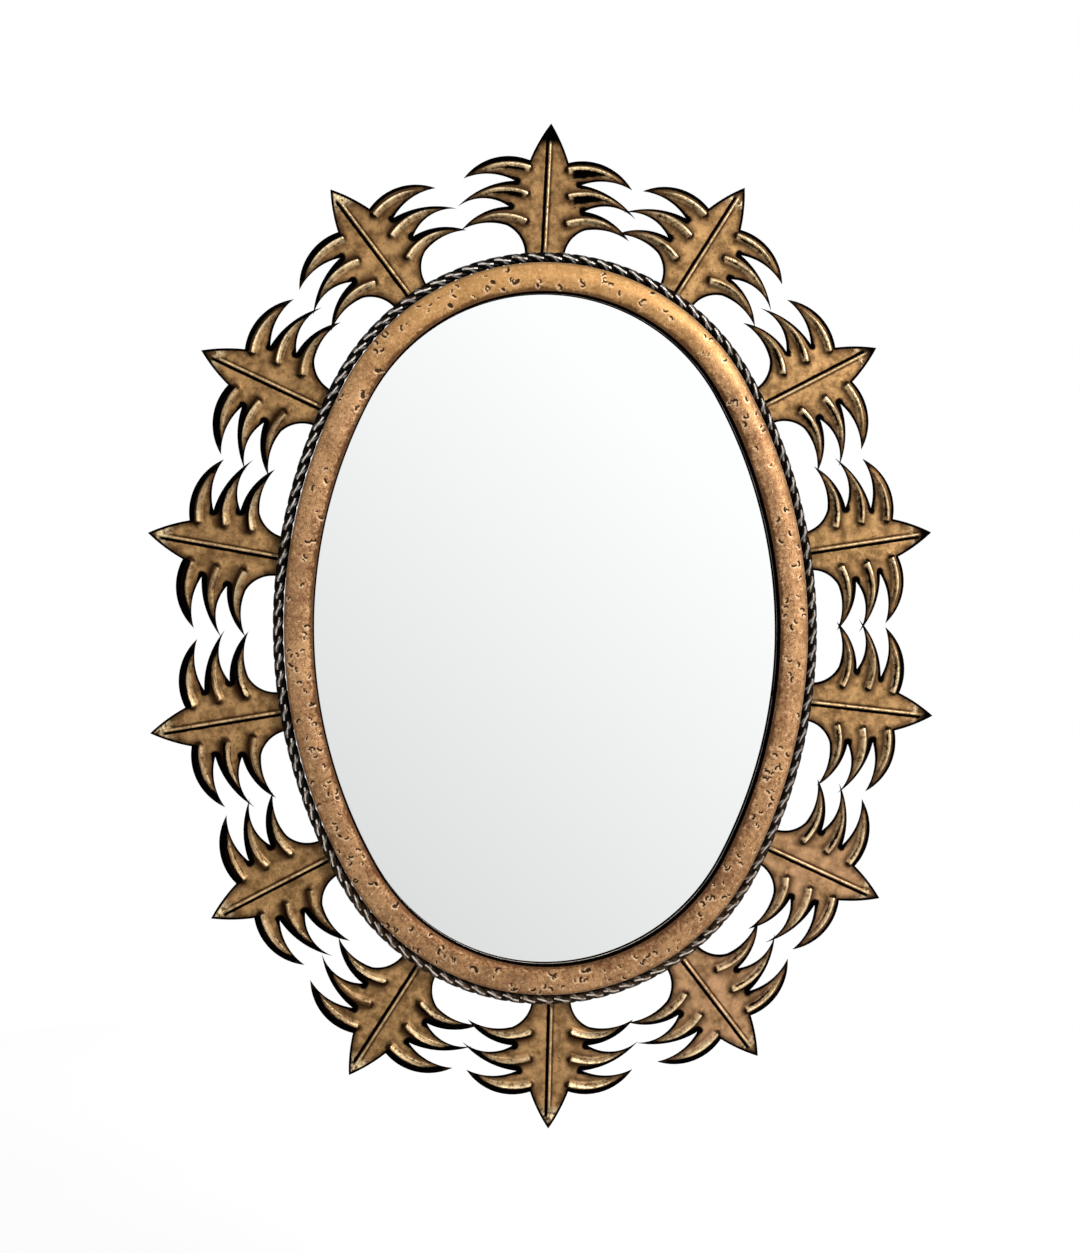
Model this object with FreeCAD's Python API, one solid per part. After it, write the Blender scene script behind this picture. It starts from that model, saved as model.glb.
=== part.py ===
"""Oval wall mirror: flat glass in a punched iron band, a twisted iron rope and a border of palm leaves.

Millimetres. +Z is up, the mirror faces -Y and its back hoop stands on the wall plane Y = 0.
The origin is on the wall, where the hook carries the hanging ring. Shapes are drawn about the
middle of the oval and shifted to that origin when they are written. A depth is a distance in front
of the wall, and an outward distance is measured square to the sight edge, away from the glass.
"""
import FreeCAD, Part
import math
import os
from dataclasses import dataclass
from functools import partial

from FreeCAD import Vector

# Sight edge: the four-centre oval that frames the visible glass; its ends are tighter than a half circle
SIGHT_HALF_WIDTH = 207.0
SIGHT_HALF_HEIGHT = 298.0
END_TIGHTENING = 31.0

# Back hoop: flat bar bent on edge
HOOP_BAR = 3.0
HOOP_DEPTH = 25.0

# Glass, board and the space left behind them for the hanger
GLASS_THICK = 3.0
BOARD_THICK = 3.0
PANEL_GAP = 1.5
BACK_SPACE = 10.5

# Face band: convex sheet whose inner edge turns back to the glass
BAND_WIDTH = 26.4
BAND_SHEET = 1.2
BAND_CROWN = 4.0
LIP_DEPTH = 10.5
LIP_ROUND = 2.0
BAND_FACETS = 4

# Twisted rope of two wires; an even count of sides, and of steps in a turn, keeps corner facing corner
WIRE_RADIUS = 2.3
STRAND_GAP = 0.2
ROPE_GAP = 0.2
ROPE_TURNS = 60
WIRE_SIDES = 4

# Leaf sheet; its embossing rises towards the viewer
LEAF_SHEET = 1.2
LEAF_DEPTH = 15.2
LOBE_RISE = 4.5
RIB_RISE = 2.6
RIB_HALF_WIDTH = 2.4
LAP_GAP = 0.4
OUTER_CUTS = 4
INNER_CUTS = 3

# Leaf sizes, from the hoop outwards
LEAF_LENGTH = 123.5
LOBE_LAP = 5.3
STEM_HALF_WIDTH = 17.5
STEM_TUCK = 5.0
NECK_FOOT = 8.0
PLATE_HALF_WIDTH = 12.0
RIB_START = 10.0
RIB_END_GAP = 9.0
RIB_TAPER = 5.0

# Leaf outline, (share of the length from the hoop, share of the half span from the midrib)
SHOULDER = (0.729, 0.218)
LANCE_BEND = (0.858, 0.132)
NECK_BEND = (0.178, 0.285)


@dataclass(frozen=True)
class Lobe:
    """One claw of a leaf, in shares: its outer edge, tip, inner edge and the crest pressed along it."""

    outer_bend: tuple
    tip: tuple
    inner_bend: tuple
    notch: tuple
    crest: tuple


LOBES = (
    Lobe((0.749, 0.424), (0.567, 0.949), (0.611, 0.572), (0.577, 0.375),
         ((0.696, 0.192), (0.713, 0.437), (0.591, 0.839))),
    Lobe((0.525, 0.666), (0.364, 1.000), (0.436, 0.633), (0.391, 0.428),
         ((0.505, 0.213), (0.524, 0.516), (0.397, 0.878))),
    Lobe((0.334, 0.713), (0.202, 0.942), (0.266, 0.646), (0.256, 0.438),
         ((0.297, 0.206), (0.332, 0.477), (0.232, 0.839))),
)

# Height of a crest along its length, as (share of the way to the tip, share of the full rise)
CREST_HEIGHTS = ((0.0, 0.0), (0.08, 1.0), (0.5, 0.95), (1.0, 0.0))

# How far each leaf leans from square to the hoop, clockwise from the top
LEAF_LEANS = (3.5, -1.0, -1.5, 0.5, -1.0, 0.5, -2.5, 2.0, -0.5, -1.0, 0.0, 2.5, 0.5, -2.5)

# Weld bead behind each stem
WELD_LEG = 4.0
WELD_LENGTH = 28.0

# Bent tabs that hold the board
TAB_COUNT = 10
TAB_WIDTH = 14.0
TAB_SHEET = 1.0
TAB_REACH = 12.0
TAB_FOOT = 8.0

# Hanger: bar across the hoop, folded strap, rivets and D-shaped ring
HANGER_DROP = 71.0
HANGER_BAR_HEIGHT = 20.0
HANGER_BAR_THICK = 3.0
STRAP_WIDTH = 18.0
STRAP_SHEET = 1.0
STRAP_TAIL = 18.0
EYE_CLEARANCE = 0.1
EYE_RISE = 0.4
RIVET_RADIUS = 1.5
RIVET_CLEARANCE = 0.05
RIVET_HEAD_RADIUS = 2.8
RIVET_HEAD_RISE = 1.2
RIVET_SPACING = 9.0
RING_WIRE_RADIUS = 1.75
RING_HALF_WIDTH = 16.0
RING_CORNER = 5.0
RING_BOARD_GAP = 0.3
RING_SIDES = 8
CORNER_CUTS = 3
ARCH_CUTS = 10

# Depths that follow from the stack between the wall and the band
BOARD_FRONT = BACK_SPACE + BOARD_THICK
GLASS_FRONT = BOARD_FRONT + GLASS_THICK
BAND_INNER_EDGE = GLASS_FRONT + LIP_DEPTH
BAND_OUTER_EDGE = HOOP_DEPTH + BAND_SHEET
BAND_TOP = BAND_INNER_EDGE + BAND_CROWN
HOOP_INSIDE = BAND_WIDTH - HOOP_BAR

# Rope centre line: the wires come closest between two steps, where flat faces flat
LAY_RADIUS = WIRE_RADIUS + STRAND_GAP / 2 / math.cos(math.pi / WIRE_SIDES)
ROPE_RADIUS = LAY_RADIUS + WIRE_RADIUS
ROPE_OUTWARD = BAND_WIDTH + ROPE_GAP + ROPE_RADIUS
ROPE_DEPTH = LEAF_DEPTH + ROPE_GAP + ROPE_RADIUS

# Hanger places about the middle of the oval
BAR_HEIGHT = SIGHT_HALF_HEIGHT + HOOP_INSIDE - HANGER_DROP
BAR_BACK = BACK_SPACE - HANGER_BAR_THICK
EYE_INSIDE = RING_WIRE_RADIUS + EYE_CLEARANCE
EYE_OUTSIDE = EYE_INSIDE + STRAP_SHEET
PIVOT_DEPTH = BAR_BACK - STRAP_SHEET
PIVOT_HEIGHT = BAR_HEIGHT + HANGER_BAR_HEIGHT / 2 + EYE_OUTSIDE + EYE_RISE
RING_HEIGHT = RING_CORNER + RING_HALF_WIDTH
HOOK_HEIGHT = PIVOT_HEIGHT + RING_HEIGHT - RING_WIRE_RADIUS

TOWARDS_VIEWER = Vector(0, -1, 0)
ACROSS = Vector(1, 0, 0)


@dataclass(frozen=True)
class OvalArc:
    """One of the oval's four arcs; angles are in radians from +X towards +Z."""

    centre: Vector
    radius: float
    start: float
    sweep: float


def oval_arcs():
    """The sight edge as side and end arcs that meet on a common tangent."""
    end = SIGHT_HALF_WIDTH - END_TIGHTENING
    end_centre = SIGHT_HALF_HEIGHT - end
    side = (SIGHT_HALF_WIDTH ** 2 + end_centre ** 2 - end ** 2) / (2 * END_TIGHTENING)
    side_centre = side - SIGHT_HALF_WIDTH
    meet = math.atan2(end_centre, side_centre)
    return (
        OvalArc(Vector(0, 0, end_centre), end, meet, math.pi - 2 * meet),
        OvalArc(Vector(side_centre, 0, 0), side, math.pi - meet, 2 * meet),
        OvalArc(Vector(0, 0, -end_centre), end, math.pi + meet, math.pi - 2 * meet),
        OvalArc(Vector(-side_centre, 0, 0), side, -meet, 2 * meet),
    )


OVAL = oval_arcs()

# The leaves stand at even steps along the line of their middle tips, and reach past half a step
SPACING_LINE = BAND_WIDTH + LOBES[1].tip[0] * LEAF_LENGTH
LEAF_PITCH = sum((arc.radius + SPACING_LINE) * arc.sweep for arc in OVAL) / len(LEAF_LEANS)
LEAF_HALF_SPAN = LEAF_PITCH / 2 + LOBE_LAP


def oval_point(arc, angle, outward, depth):
    """Point square to the sight edge at an angle of one of its arcs."""
    reach = arc.radius + outward
    return arc.centre + Vector(reach * math.cos(angle), -depth, reach * math.sin(angle))


def oval_steps(count, outward, shift):
    """Yield (arc, angle) at equal lengths along an offset of the oval, clockwise from its top."""
    lengths = [(arc.radius + outward) * arc.sweep for arc in OVAL]
    whole = sum(lengths)
    for index in range(count):
        along = (lengths[0] / 2 - (index + shift) * whole / count) % whole
        for arc, length in zip(OVAL, lengths):
            if along <= length:
                yield arc, arc.start + along / (arc.radius + outward)
                break
            along -= length


def swept(arc, angle, sweep, *section):
    """Revolve an (outward, depth) section about an arc's centre, from an angle through a sweep."""
    corners = [oval_point(arc, angle, outward, depth) for outward, depth in section]
    face = Part.Face(Part.makePolygon([*corners, corners[0]]))
    return face.revolve(arc.centre, TOWARDS_VIEWER, math.degrees(sweep))


def around_oval(*section):
    """Sweep an (outward, depth) section round the whole oval."""
    pieces = [swept(arc, arc.start, arc.sweep, *section) for arc in OVAL]
    return pieces[0].fuse(pieces[1:])


def oval_plate(outward, back, front):
    """Flat oval plate between two depths."""
    edges = []
    for arc in OVAL:
        angles = (arc.start, arc.start + arc.sweep / 2, arc.start + arc.sweep)
        edges.append(Part.Arc(*(oval_point(arc, angle, outward, back) for angle in angles)).toShape())
    return Part.Face(Part.Wire(edges)).extrude(TOWARDS_VIEWER * (front - back))


def sewn(polygons):
    """Solid bounded by flat polygons."""
    faces = [Part.Face(Part.makePolygon([*corners, corners[0]])) for corners in polygons]
    shell = Part.makeShell(faces)
    shell.sewShape()
    solid = Part.makeSolid(shell)
    if solid.Volume < 0:
        solid.reverse()
    return solid


def face_band():
    """Convex band seated on the hoop, with an eased inner edge and a lip down to the glass.

    The crown and its hollow are runs of straight facets along an arc, as a hammered section is.
    """
    middle = BAND_WIDTH / 2
    crown = arc_points(
        (LIP_ROUND, BAND_INNER_EDGE), (middle, BAND_TOP), (BAND_WIDTH, BAND_OUTER_EDGE), BAND_FACETS)
    hollow = arc_points(
        (HOOP_INSIDE, HOOP_DEPTH), (middle, BAND_TOP - BAND_SHEET),
        (BAND_SHEET, BAND_INNER_EDGE - BAND_SHEET), BAND_FACETS // 2)
    return around_oval(
        (0, GLASS_FRONT), (0, BAND_INNER_EDGE - LIP_ROUND), *crown, (BAND_WIDTH, HOOP_DEPTH), *hollow,
        (BAND_SHEET, GLASS_FRONT))


def back_hoop():
    """Flat bar on edge, from the wall to the band."""
    return around_oval((HOOP_INSIDE, 0), (BAND_WIDTH, 0), (BAND_WIDTH, HOOP_DEPTH), (HOOP_INSIDE, HOOP_DEPTH))


def closed_tube(rings):
    """Solid of a faceted tube that runs through rings of corners and back into its first ring."""
    polygons = []
    for ring, following in zip(rings, rings[1:] + rings[:1]):
        for side, corner in enumerate(ring):
            beside = (side + 1) % len(ring)
            polygons.append((corner, ring[beside], following[beside]))
            polygons.append((corner, following[beside], following[side]))
    return sewn(polygons)


def round_section(place, outward, depth, radius, sides):
    """Corners of a wire's section about an (outward, depth) point."""
    turns = [2 * math.pi * side / sides for side in range(sides)]
    return [place(outward + radius * math.cos(turn), depth + radius * math.sin(turn)) for turn in turns]


def rope_strand(phase):
    """One wire of the rope: a faceted tube that winds round the rope's centre line."""
    rings = []
    for index, (arc, angle) in enumerate(oval_steps(ROPE_TURNS * WIRE_SIDES, ROPE_OUTWARD, 0)):
        lay = phase + 2 * math.pi * index / WIRE_SIDES
        outward = ROPE_OUTWARD + LAY_RADIUS * math.cos(lay)
        depth = ROPE_DEPTH + LAY_RADIUS * math.sin(lay)
        place = partial(oval_point, arc, angle)
        rings.append(round_section(place, outward, depth, WIRE_RADIUS, WIRE_SIDES))
    return closed_tube(rings)


def arc_points(start, via, end, count):
    """Points at the ends of equal straight cuts along the arc through three points."""
    curve = Part.Arc(Vector(*start), Vector(*via), Vector(*end))
    span = curve.LastParameter - curve.FirstParameter
    points = [curve.value(curve.FirstParameter + span * index / count) for index in range(count + 1)]
    return [(point.x, point.y) for point in points]


def full_size(*points):
    """Points of the leaf outline in millimetres."""
    return [(along * LEAF_LENGTH, across * LEAF_HALF_SPAN) for along, across in points]


def flat(points):
    """Points of the flat sheet, with no rise."""
    return [(along, across, 0.0) for along, across in points]


def crest_points(lobe):
    """Crest of a lobe as (along, across, rise): blunt at its root, fading before the tip."""
    curve = Part.Arc(*(Vector(*point) for point in full_size(*lobe.crest)))
    span = curve.LastParameter - curve.FirstParameter
    points = []
    for share, rise in CREST_HEIGHTS:
        point = curve.value(curve.FirstParameter + span * share)
        points.append((point.x, point.y, rise * LOBE_RISE))
    return points


def zipped(left, right):
    """Triangles between two runs of points, always closed along the shorter diagonal."""
    triangles = []
    i = j = 0
    while i + 1 < len(left) or j + 1 < len(right):
        step_left = math.dist(left[i + 1], right[j]) if i + 1 < len(left) else math.inf
        step_right = math.dist(left[i], right[j + 1]) if j + 1 < len(right) else math.inf
        if step_left < step_right:
            triangles.append((left[i], left[i + 1], right[j]))
            i += 1
        else:
            triangles.append((left[i], right[j + 1], right[j]))
            j += 1
    return triangles


def lobe_edges():
    """Outer and inner edge of each lobe, from its root to its tip."""
    edges = []
    root = SHOULDER
    for lobe in LOBES:
        outer = arc_points(*full_size(root, lobe.outer_bend, lobe.tip), OUTER_CUTS)
        inner = arc_points(*full_size(lobe.notch, lobe.inner_bend, lobe.tip), INNER_CUTS)
        edges.append((outer, inner))
        root = lobe.notch
    return edges


def half_leaf():
    """Polygons of the formed sheet on one side of the midrib, and the outline from stem to tip."""
    edges = lobe_edges()
    shoulder, lance_bend, notch, neck_bend = full_size(SHOULDER, LANCE_BEND, LOBES[-1].notch, NECK_BEND)
    neck = arc_points(notch, neck_bend, (NECK_FOOT, STEM_HALF_WIDTH), INNER_CUTS)
    lance = arc_points(shoulder, lance_bend, (LEAF_LENGTH, 0.0), INNER_CUTS)
    hems = [(root[0][0], PLATE_HALF_WIDTH) for root, _ in edges]
    hems.append((notch[0], PLATE_HALF_WIDTH))
    polygons = []
    for index, (outer, inner) in enumerate(edges):
        crest = crest_points(LOBES[index])
        upper = flat([hems[index], *outer])
        lower = flat([hems[index + 1], *inner])
        polygons += zipped(upper, crest)
        polygons += zipped(crest, lower)
        polygons.append((upper[0], crest[0], lower[0]))
    rib_end = LEAF_LENGTH - RIB_END_GAP
    foot = [(RIB_START, 0.0), (RIB_START + RIB_TAPER, RIB_HALF_WIDTH),
            (rib_end - RIB_TAPER, RIB_HALF_WIDTH), (rib_end, 0.0)]
    crown = [(along, 0.0, RIB_RISE) for along, _ in foot[1:3]]
    feet = flat(foot)
    polygons += [(feet[0], feet[1], crown[0]), (feet[1], feet[2], crown[1], crown[0]),
                 (feet[2], feet[3], crown[1])]
    stem = [(-STEM_TUCK, 0.0), (-STEM_TUCK, STEM_HALF_WIDTH), *neck[::-1]]
    polygons.append(tuple(flat([*stem, *hems[::-1], *lance, *foot[::-1]])))
    rim = stem[1:]
    for outer, inner in edges[::-1]:
        rim += inner[1:] + outer[-2::-1]
    return polygons, flat(rim + lance[1:])


def leaf(arc, angle, lean, depth, hoop_core):
    """Embossed leaf of even sheet, standing on the hoop and leaning clockwise by some degrees."""
    root = oval_point(arc, angle, BAND_WIDTH, depth)
    heading = angle - math.radians(lean)
    along_leaf = Vector(math.cos(heading), 0, math.sin(heading))
    across_leaf = Vector(math.sin(heading), 0, -math.cos(heading))
    half, rim = half_leaf()

    def placed(corner, side, back):
        along, across, rise = corner
        return root + along_leaf * along + across_leaf * (side * across) + TOWARDS_VIEWER * (rise - back)

    polygons = []
    for side in (1, -1):
        for back in (0, LEAF_SHEET):
            polygons += [[placed(corner, side, back) for corner in polygon] for polygon in half]
        for here, there in zip(rim, rim[1:]):
            polygons.append([placed(here, side, 0), placed(there, side, 0),
                             placed(there, side, LEAF_SHEET), placed(here, side, LEAF_SHEET)])
    foot = rim[0]
    polygons.append([placed(foot, 1, 0), placed(foot, -1, 0), placed(foot, -1, LEAF_SHEET),
                     placed(foot, 1, LEAF_SHEET)])
    return sewn(polygons).cut(hoop_core)


def leaf_places():
    """Yield (arc, angle, lean, depth) clockwise from the top; every second leaf laps behind the rest."""
    steps = oval_steps(len(LEAF_LEANS), SPACING_LINE, 0)
    for index, ((arc, angle), lean) in enumerate(zip(steps, LEAF_LEANS)):
        yield arc, angle, lean, LEAF_DEPTH - (LEAF_SHEET + LAP_GAP) * (index % 2)


def stem_welds():
    """Fillet bead in the corner behind each leaf stem."""
    beads = []
    for arc, angle, _, depth in leaf_places():
        sweep = WELD_LENGTH / (arc.radius + BAND_WIDTH)
        back = depth - LEAF_SHEET
        beads.append(swept(arc, angle - sweep / 2, sweep, (BAND_WIDTH, back), (BAND_WIDTH + WELD_LEG, back),
                           (BAND_WIDTH, back - WELD_LEG)))
    return Part.makeCompound(beads)


def retaining_tabs():
    """Angle tabs on the inside of the hoop, each with a finger over the board."""
    tabs = []
    for arc, angle in oval_steps(TAB_COUNT, HOOP_INSIDE, 0.5):
        sweep = TAB_WIDTH / (arc.radius + HOOP_INSIDE)
        tabs.append(swept(
            arc, angle - sweep / 2, sweep,
            (HOOP_INSIDE, BACK_SPACE), (HOOP_INSIDE, BACK_SPACE - TAB_FOOT),
            (HOOP_INSIDE - TAB_SHEET, BACK_SPACE - TAB_FOOT),
            (HOOP_INSIDE - TAB_SHEET, BACK_SPACE - TAB_SHEET),
            (HOOP_INSIDE - TAB_REACH, BACK_SPACE - TAB_SHEET), (HOOP_INSIDE - TAB_REACH, BACK_SPACE)))
    return Part.makeCompound(tabs)


def rivet_places():
    """Where the two rivets stand on the hanger bar."""
    return [(side * RIVET_SPACING / 2, BAR_HEIGHT) for side in (1, -1)]


def riveted(shape):
    """Drill a shape for the hanger rivets."""
    radius = RIVET_RADIUS + RIVET_CLEARANCE
    for across, height in rivet_places():
        shape = shape.cut(Part.makeCylinder(radius, BACK_SPACE, Vector(across, 0, height), TOWARDS_VIEWER))
    return shape


def hanger_bar():
    """Flat bar across the back of the hoop, its ends shaped to the hoop's inside."""
    half = SIGHT_HALF_WIDTH + BAND_WIDTH
    corner = Vector(-half, -BACK_SPACE, BAR_HEIGHT - HANGER_BAR_HEIGHT / 2)
    bar = Part.makeBox(2 * half, HANGER_BAR_THICK, HANGER_BAR_HEIGHT, corner)
    return riveted(bar.common(oval_plate(HOOP_INSIDE, BAR_BACK, BACK_SPACE)))


def hanger_strap():
    """Sheet strap folded round the ring's straight side, both tails flat on the bar."""
    left = -STRAP_WIDTH / 2
    pivot = Vector(left, -PIVOT_DEPTH, PIVOT_HEIGHT)
    tail_bottom = PIVOT_HEIGHT - EYE_OUTSIDE - EYE_RISE - STRAP_TAIL
    tails = Part.makeBox(STRAP_WIDTH, 2 * STRAP_SHEET, PIVOT_HEIGHT - tail_bottom,
                         Vector(left, -BAR_BACK, tail_bottom))
    eye = Part.makeCylinder(EYE_OUTSIDE, STRAP_WIDTH, pivot, ACROSS)
    hole = Part.makeCylinder(EYE_INSIDE, STRAP_WIDTH, pivot, ACROSS)
    return riveted(eye.fuse(tails).cut(hole))


def hanger_rivets():
    """Rivets flush in the bar, with a flat head on the strap."""
    strap_back = BAR_BACK - 2 * STRAP_SHEET
    rivets = []
    for across, height in rivet_places():
        under_head = Vector(across, -strap_back, height)
        shank = Part.makeCylinder(RIVET_RADIUS, BACK_SPACE - strap_back, under_head, TOWARDS_VIEWER)
        head = Part.makeCylinder(RIVET_HEAD_RADIUS, RIVET_HEAD_RISE, under_head, -TOWARDS_VIEWER)
        rivets.append(shank.fuse(head))
    return Part.makeCompound(rivets)


def ring_point(across, angle, outward, depth):
    """Point of the ring's wire, square to one of its bends."""
    return Vector(across + outward * math.cos(angle), -depth,
                  PIVOT_HEIGHT + RING_CORNER + outward * math.sin(angle))


def hanging_ring():
    """D-shaped wire ring, standing up in the eye and leaning on the board."""
    straight = RING_HALF_WIDTH - RING_CORNER
    corner_turns = [90 * cut / CORNER_CUTS for cut in range(CORNER_CUTS + 1)]
    arch_turns = [180 * cut / ARCH_CUTS for cut in range(1, ARCH_CUTS)]
    stations = [(straight, RING_CORNER, turn - 90) for turn in corner_turns]
    stations += [(0, RING_HALF_WIDTH, turn) for turn in arch_turns]
    stations += [(-straight, RING_CORNER, turn + 180) for turn in corner_turns]
    rings = []
    for across, radius, turn in stations:
        place = partial(ring_point, across, math.radians(turn))
        rings.append(round_section(place, radius, PIVOT_DEPTH, RING_WIRE_RADIUS, RING_SIDES))
    ring = closed_tube(rings)
    room = BACK_SPACE - RING_BOARD_GAP - RING_WIRE_RADIUS - PIVOT_DEPTH
    lean = math.degrees(math.asin(room / RING_HEIGHT))
    ring.rotate(Vector(0, -PIVOT_DEPTH, PIVOT_HEIGHT), ACROSS, lean)
    return ring


def mirror_parts():
    """Every node of the mirror by name."""
    panel = HOOP_INSIDE - PANEL_GAP
    hoop_core = oval_plate(BAND_WIDTH, 0, HOOP_DEPTH)
    parts = {
        "face_band": face_band(),
        "back_hoop": back_hoop(),
        "rope_strand_a": rope_strand(0),
        "rope_strand_b": rope_strand(math.pi),
        "mirror_glass": oval_plate(panel, BOARD_FRONT, GLASS_FRONT),
        "backing_board": oval_plate(panel, BACK_SPACE, BOARD_FRONT),
        "stem_welds": stem_welds(),
        "retaining_tabs": retaining_tabs(),
        "hanger_bar": hanger_bar(),
        "hanger_strap": hanger_strap(),
        "hanger_rivets": hanger_rivets(),
        "hanging_ring": hanging_ring(),
    }
    for number, place in enumerate(leaf_places(), start=1):
        parts[f"leaf_{number:02d}"] = leaf(*place, hoop_core)
    return parts


os.makedirs("parts", exist_ok=True)
for name, shape in mirror_parts().items():
    shape.translate(Vector(0, 0, -HOOK_HEIGHT))
    shape.exportStep(f"parts/{name}.step")
    state = "valid" if shape.isValid() else "INVALID"
    print(name, len(shape.Solids), "solids", round(shape.Volume), "mm3", state)
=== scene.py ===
"""Looks of the oval wall mirror: gilded palm leaves, a punched band, an iron rope, the glass and its back.

Metres, in the frame of the solids: +Z is up, the mirror faces -Y and the wall is the plane Y = 0.
A depth is a distance in front of the wall, an outward distance is square to the sight edge, away from
the glass. Distances that a finish reads from a surface are in millimetres. A span says where a soft mask
starts and where it is full.
"""
import logging
import math
import random
from dataclasses import dataclass, field
from enum import Enum
from typing import Callable, Iterator, Sequence

import bmesh
import bpy
from bmesh.types import BMesh, BMVert
from mathutils import Color, Matrix, Vector, noise
from mathutils.kdtree import KDTree


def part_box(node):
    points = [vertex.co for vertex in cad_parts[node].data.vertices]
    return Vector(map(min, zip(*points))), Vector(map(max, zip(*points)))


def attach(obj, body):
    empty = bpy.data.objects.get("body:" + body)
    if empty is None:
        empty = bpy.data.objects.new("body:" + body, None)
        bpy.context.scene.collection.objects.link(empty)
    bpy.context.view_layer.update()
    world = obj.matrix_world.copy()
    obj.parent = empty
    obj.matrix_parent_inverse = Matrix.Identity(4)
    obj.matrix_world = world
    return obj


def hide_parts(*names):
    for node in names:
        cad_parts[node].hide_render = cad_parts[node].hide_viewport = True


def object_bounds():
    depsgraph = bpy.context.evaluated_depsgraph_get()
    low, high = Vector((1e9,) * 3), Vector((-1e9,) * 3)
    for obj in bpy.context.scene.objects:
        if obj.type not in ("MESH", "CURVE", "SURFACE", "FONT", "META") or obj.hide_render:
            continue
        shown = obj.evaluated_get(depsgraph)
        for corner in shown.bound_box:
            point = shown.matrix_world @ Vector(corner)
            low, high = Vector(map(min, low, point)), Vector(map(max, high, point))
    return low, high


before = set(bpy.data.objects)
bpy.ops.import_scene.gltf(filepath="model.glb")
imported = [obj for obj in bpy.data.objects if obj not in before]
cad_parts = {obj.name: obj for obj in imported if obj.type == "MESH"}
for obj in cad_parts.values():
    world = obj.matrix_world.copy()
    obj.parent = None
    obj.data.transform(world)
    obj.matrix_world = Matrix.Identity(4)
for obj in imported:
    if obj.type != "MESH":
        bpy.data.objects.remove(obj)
CAD_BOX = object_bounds()

LOG = logging.getLogger("oval_mirror")
MM = 0.001
TOWARDS_VIEWER = Vector((0.0, -1.0, 0.0))
MERGE = 1e-6
PATTERN_MERGE = 5 * MERGE
SPIN_MERGE = 10 * MERGE
BYTE_TOP = 255
EASE_CUTS = 3
SIDE_CUTS = 5
CREASE = 40.0
THIN_CREASE = 50.0
WELD_CREASE = 55.0
BAR_CREASE = 60.0
WHITE = (1.0, 1.0, 1.0, 1.0)

Colour = tuple[float, float, float, float]
Profile = Sequence[tuple[float, float]]
Span = tuple[float, float]


class Body(Enum):
    """Bodies that the pieces ride on."""

    FRAME = "frame"
    RING = "ring"


class Slot(Enum):
    """Names of material slots that go along with the pieces; nothing reads them."""

    BAND_GOLD = "band_gold"
    LEAF_GOLD = "leaf_gold"
    ROPE_IRON = "rope_iron"
    HOOP_IRON = "hoop_iron"
    MIRROR_SILVER = "mirror_silver"
    BOARD_FIBRE = "board_fibre"
    HANGER_STEEL = "hanger_steel"


class Mark(Enum):
    """Marks that a piece carries on its vertices for its finish to read."""

    RIM = "rim"
    CREST = "crest"
    OUT = "out"
    END = "end"
    SHARE = "share"
    LOBE = "lobe"
    RISE = "rise"
    LANCE = "lance"
    TIP = "tip"
    # Distance from the midrib, positive on its shaded side, where shadow is painted.
    RIB = "rib"
    # Share of black on a claw's outer flank: antiquing, and painted shade where the flank faces away from
    # the light.
    HEAVY = "heavy"
    # Black below a bead: antiquing, and painted shadow where that side faces away from the light.
    UNDER = "under"
    BACK = "back"
    GIRTH = "girth"
    PUNCH = "punch"
    # Painted highlight on the lit side of a punch mark's rim.
    LIP = "lip"
    TWIST = "twist"
    # Distance from the painted highlight streak on a wire's front.
    STREAK = "streak"


def paint(red: int, green: int, blue: int) -> Colour:
    """Linear colour of an 8-bit screen colour.

    Args:
        red, green, blue: channels from 0 to 255.

    Returns:
        The colour as Blender's sockets take it.
    """
    shade = Color([channel / BYTE_TOP for channel in (red, green, blue)])
    return (*shade.from_srgb_to_scene_linear(), 1.0)


def soft_step(low: float, high: float, value: float) -> float:
    """0 below low, 1 above high, and smooth between them."""
    share = min(1.0, max(0.0, (value - low) / (high - low)))
    return share * share * (3 - 2 * share)


def between(low: float, high: float, share: float) -> float:
    """Value a share of the way from low to high."""
    return low + (high - low) * share


# Shader maths


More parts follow.
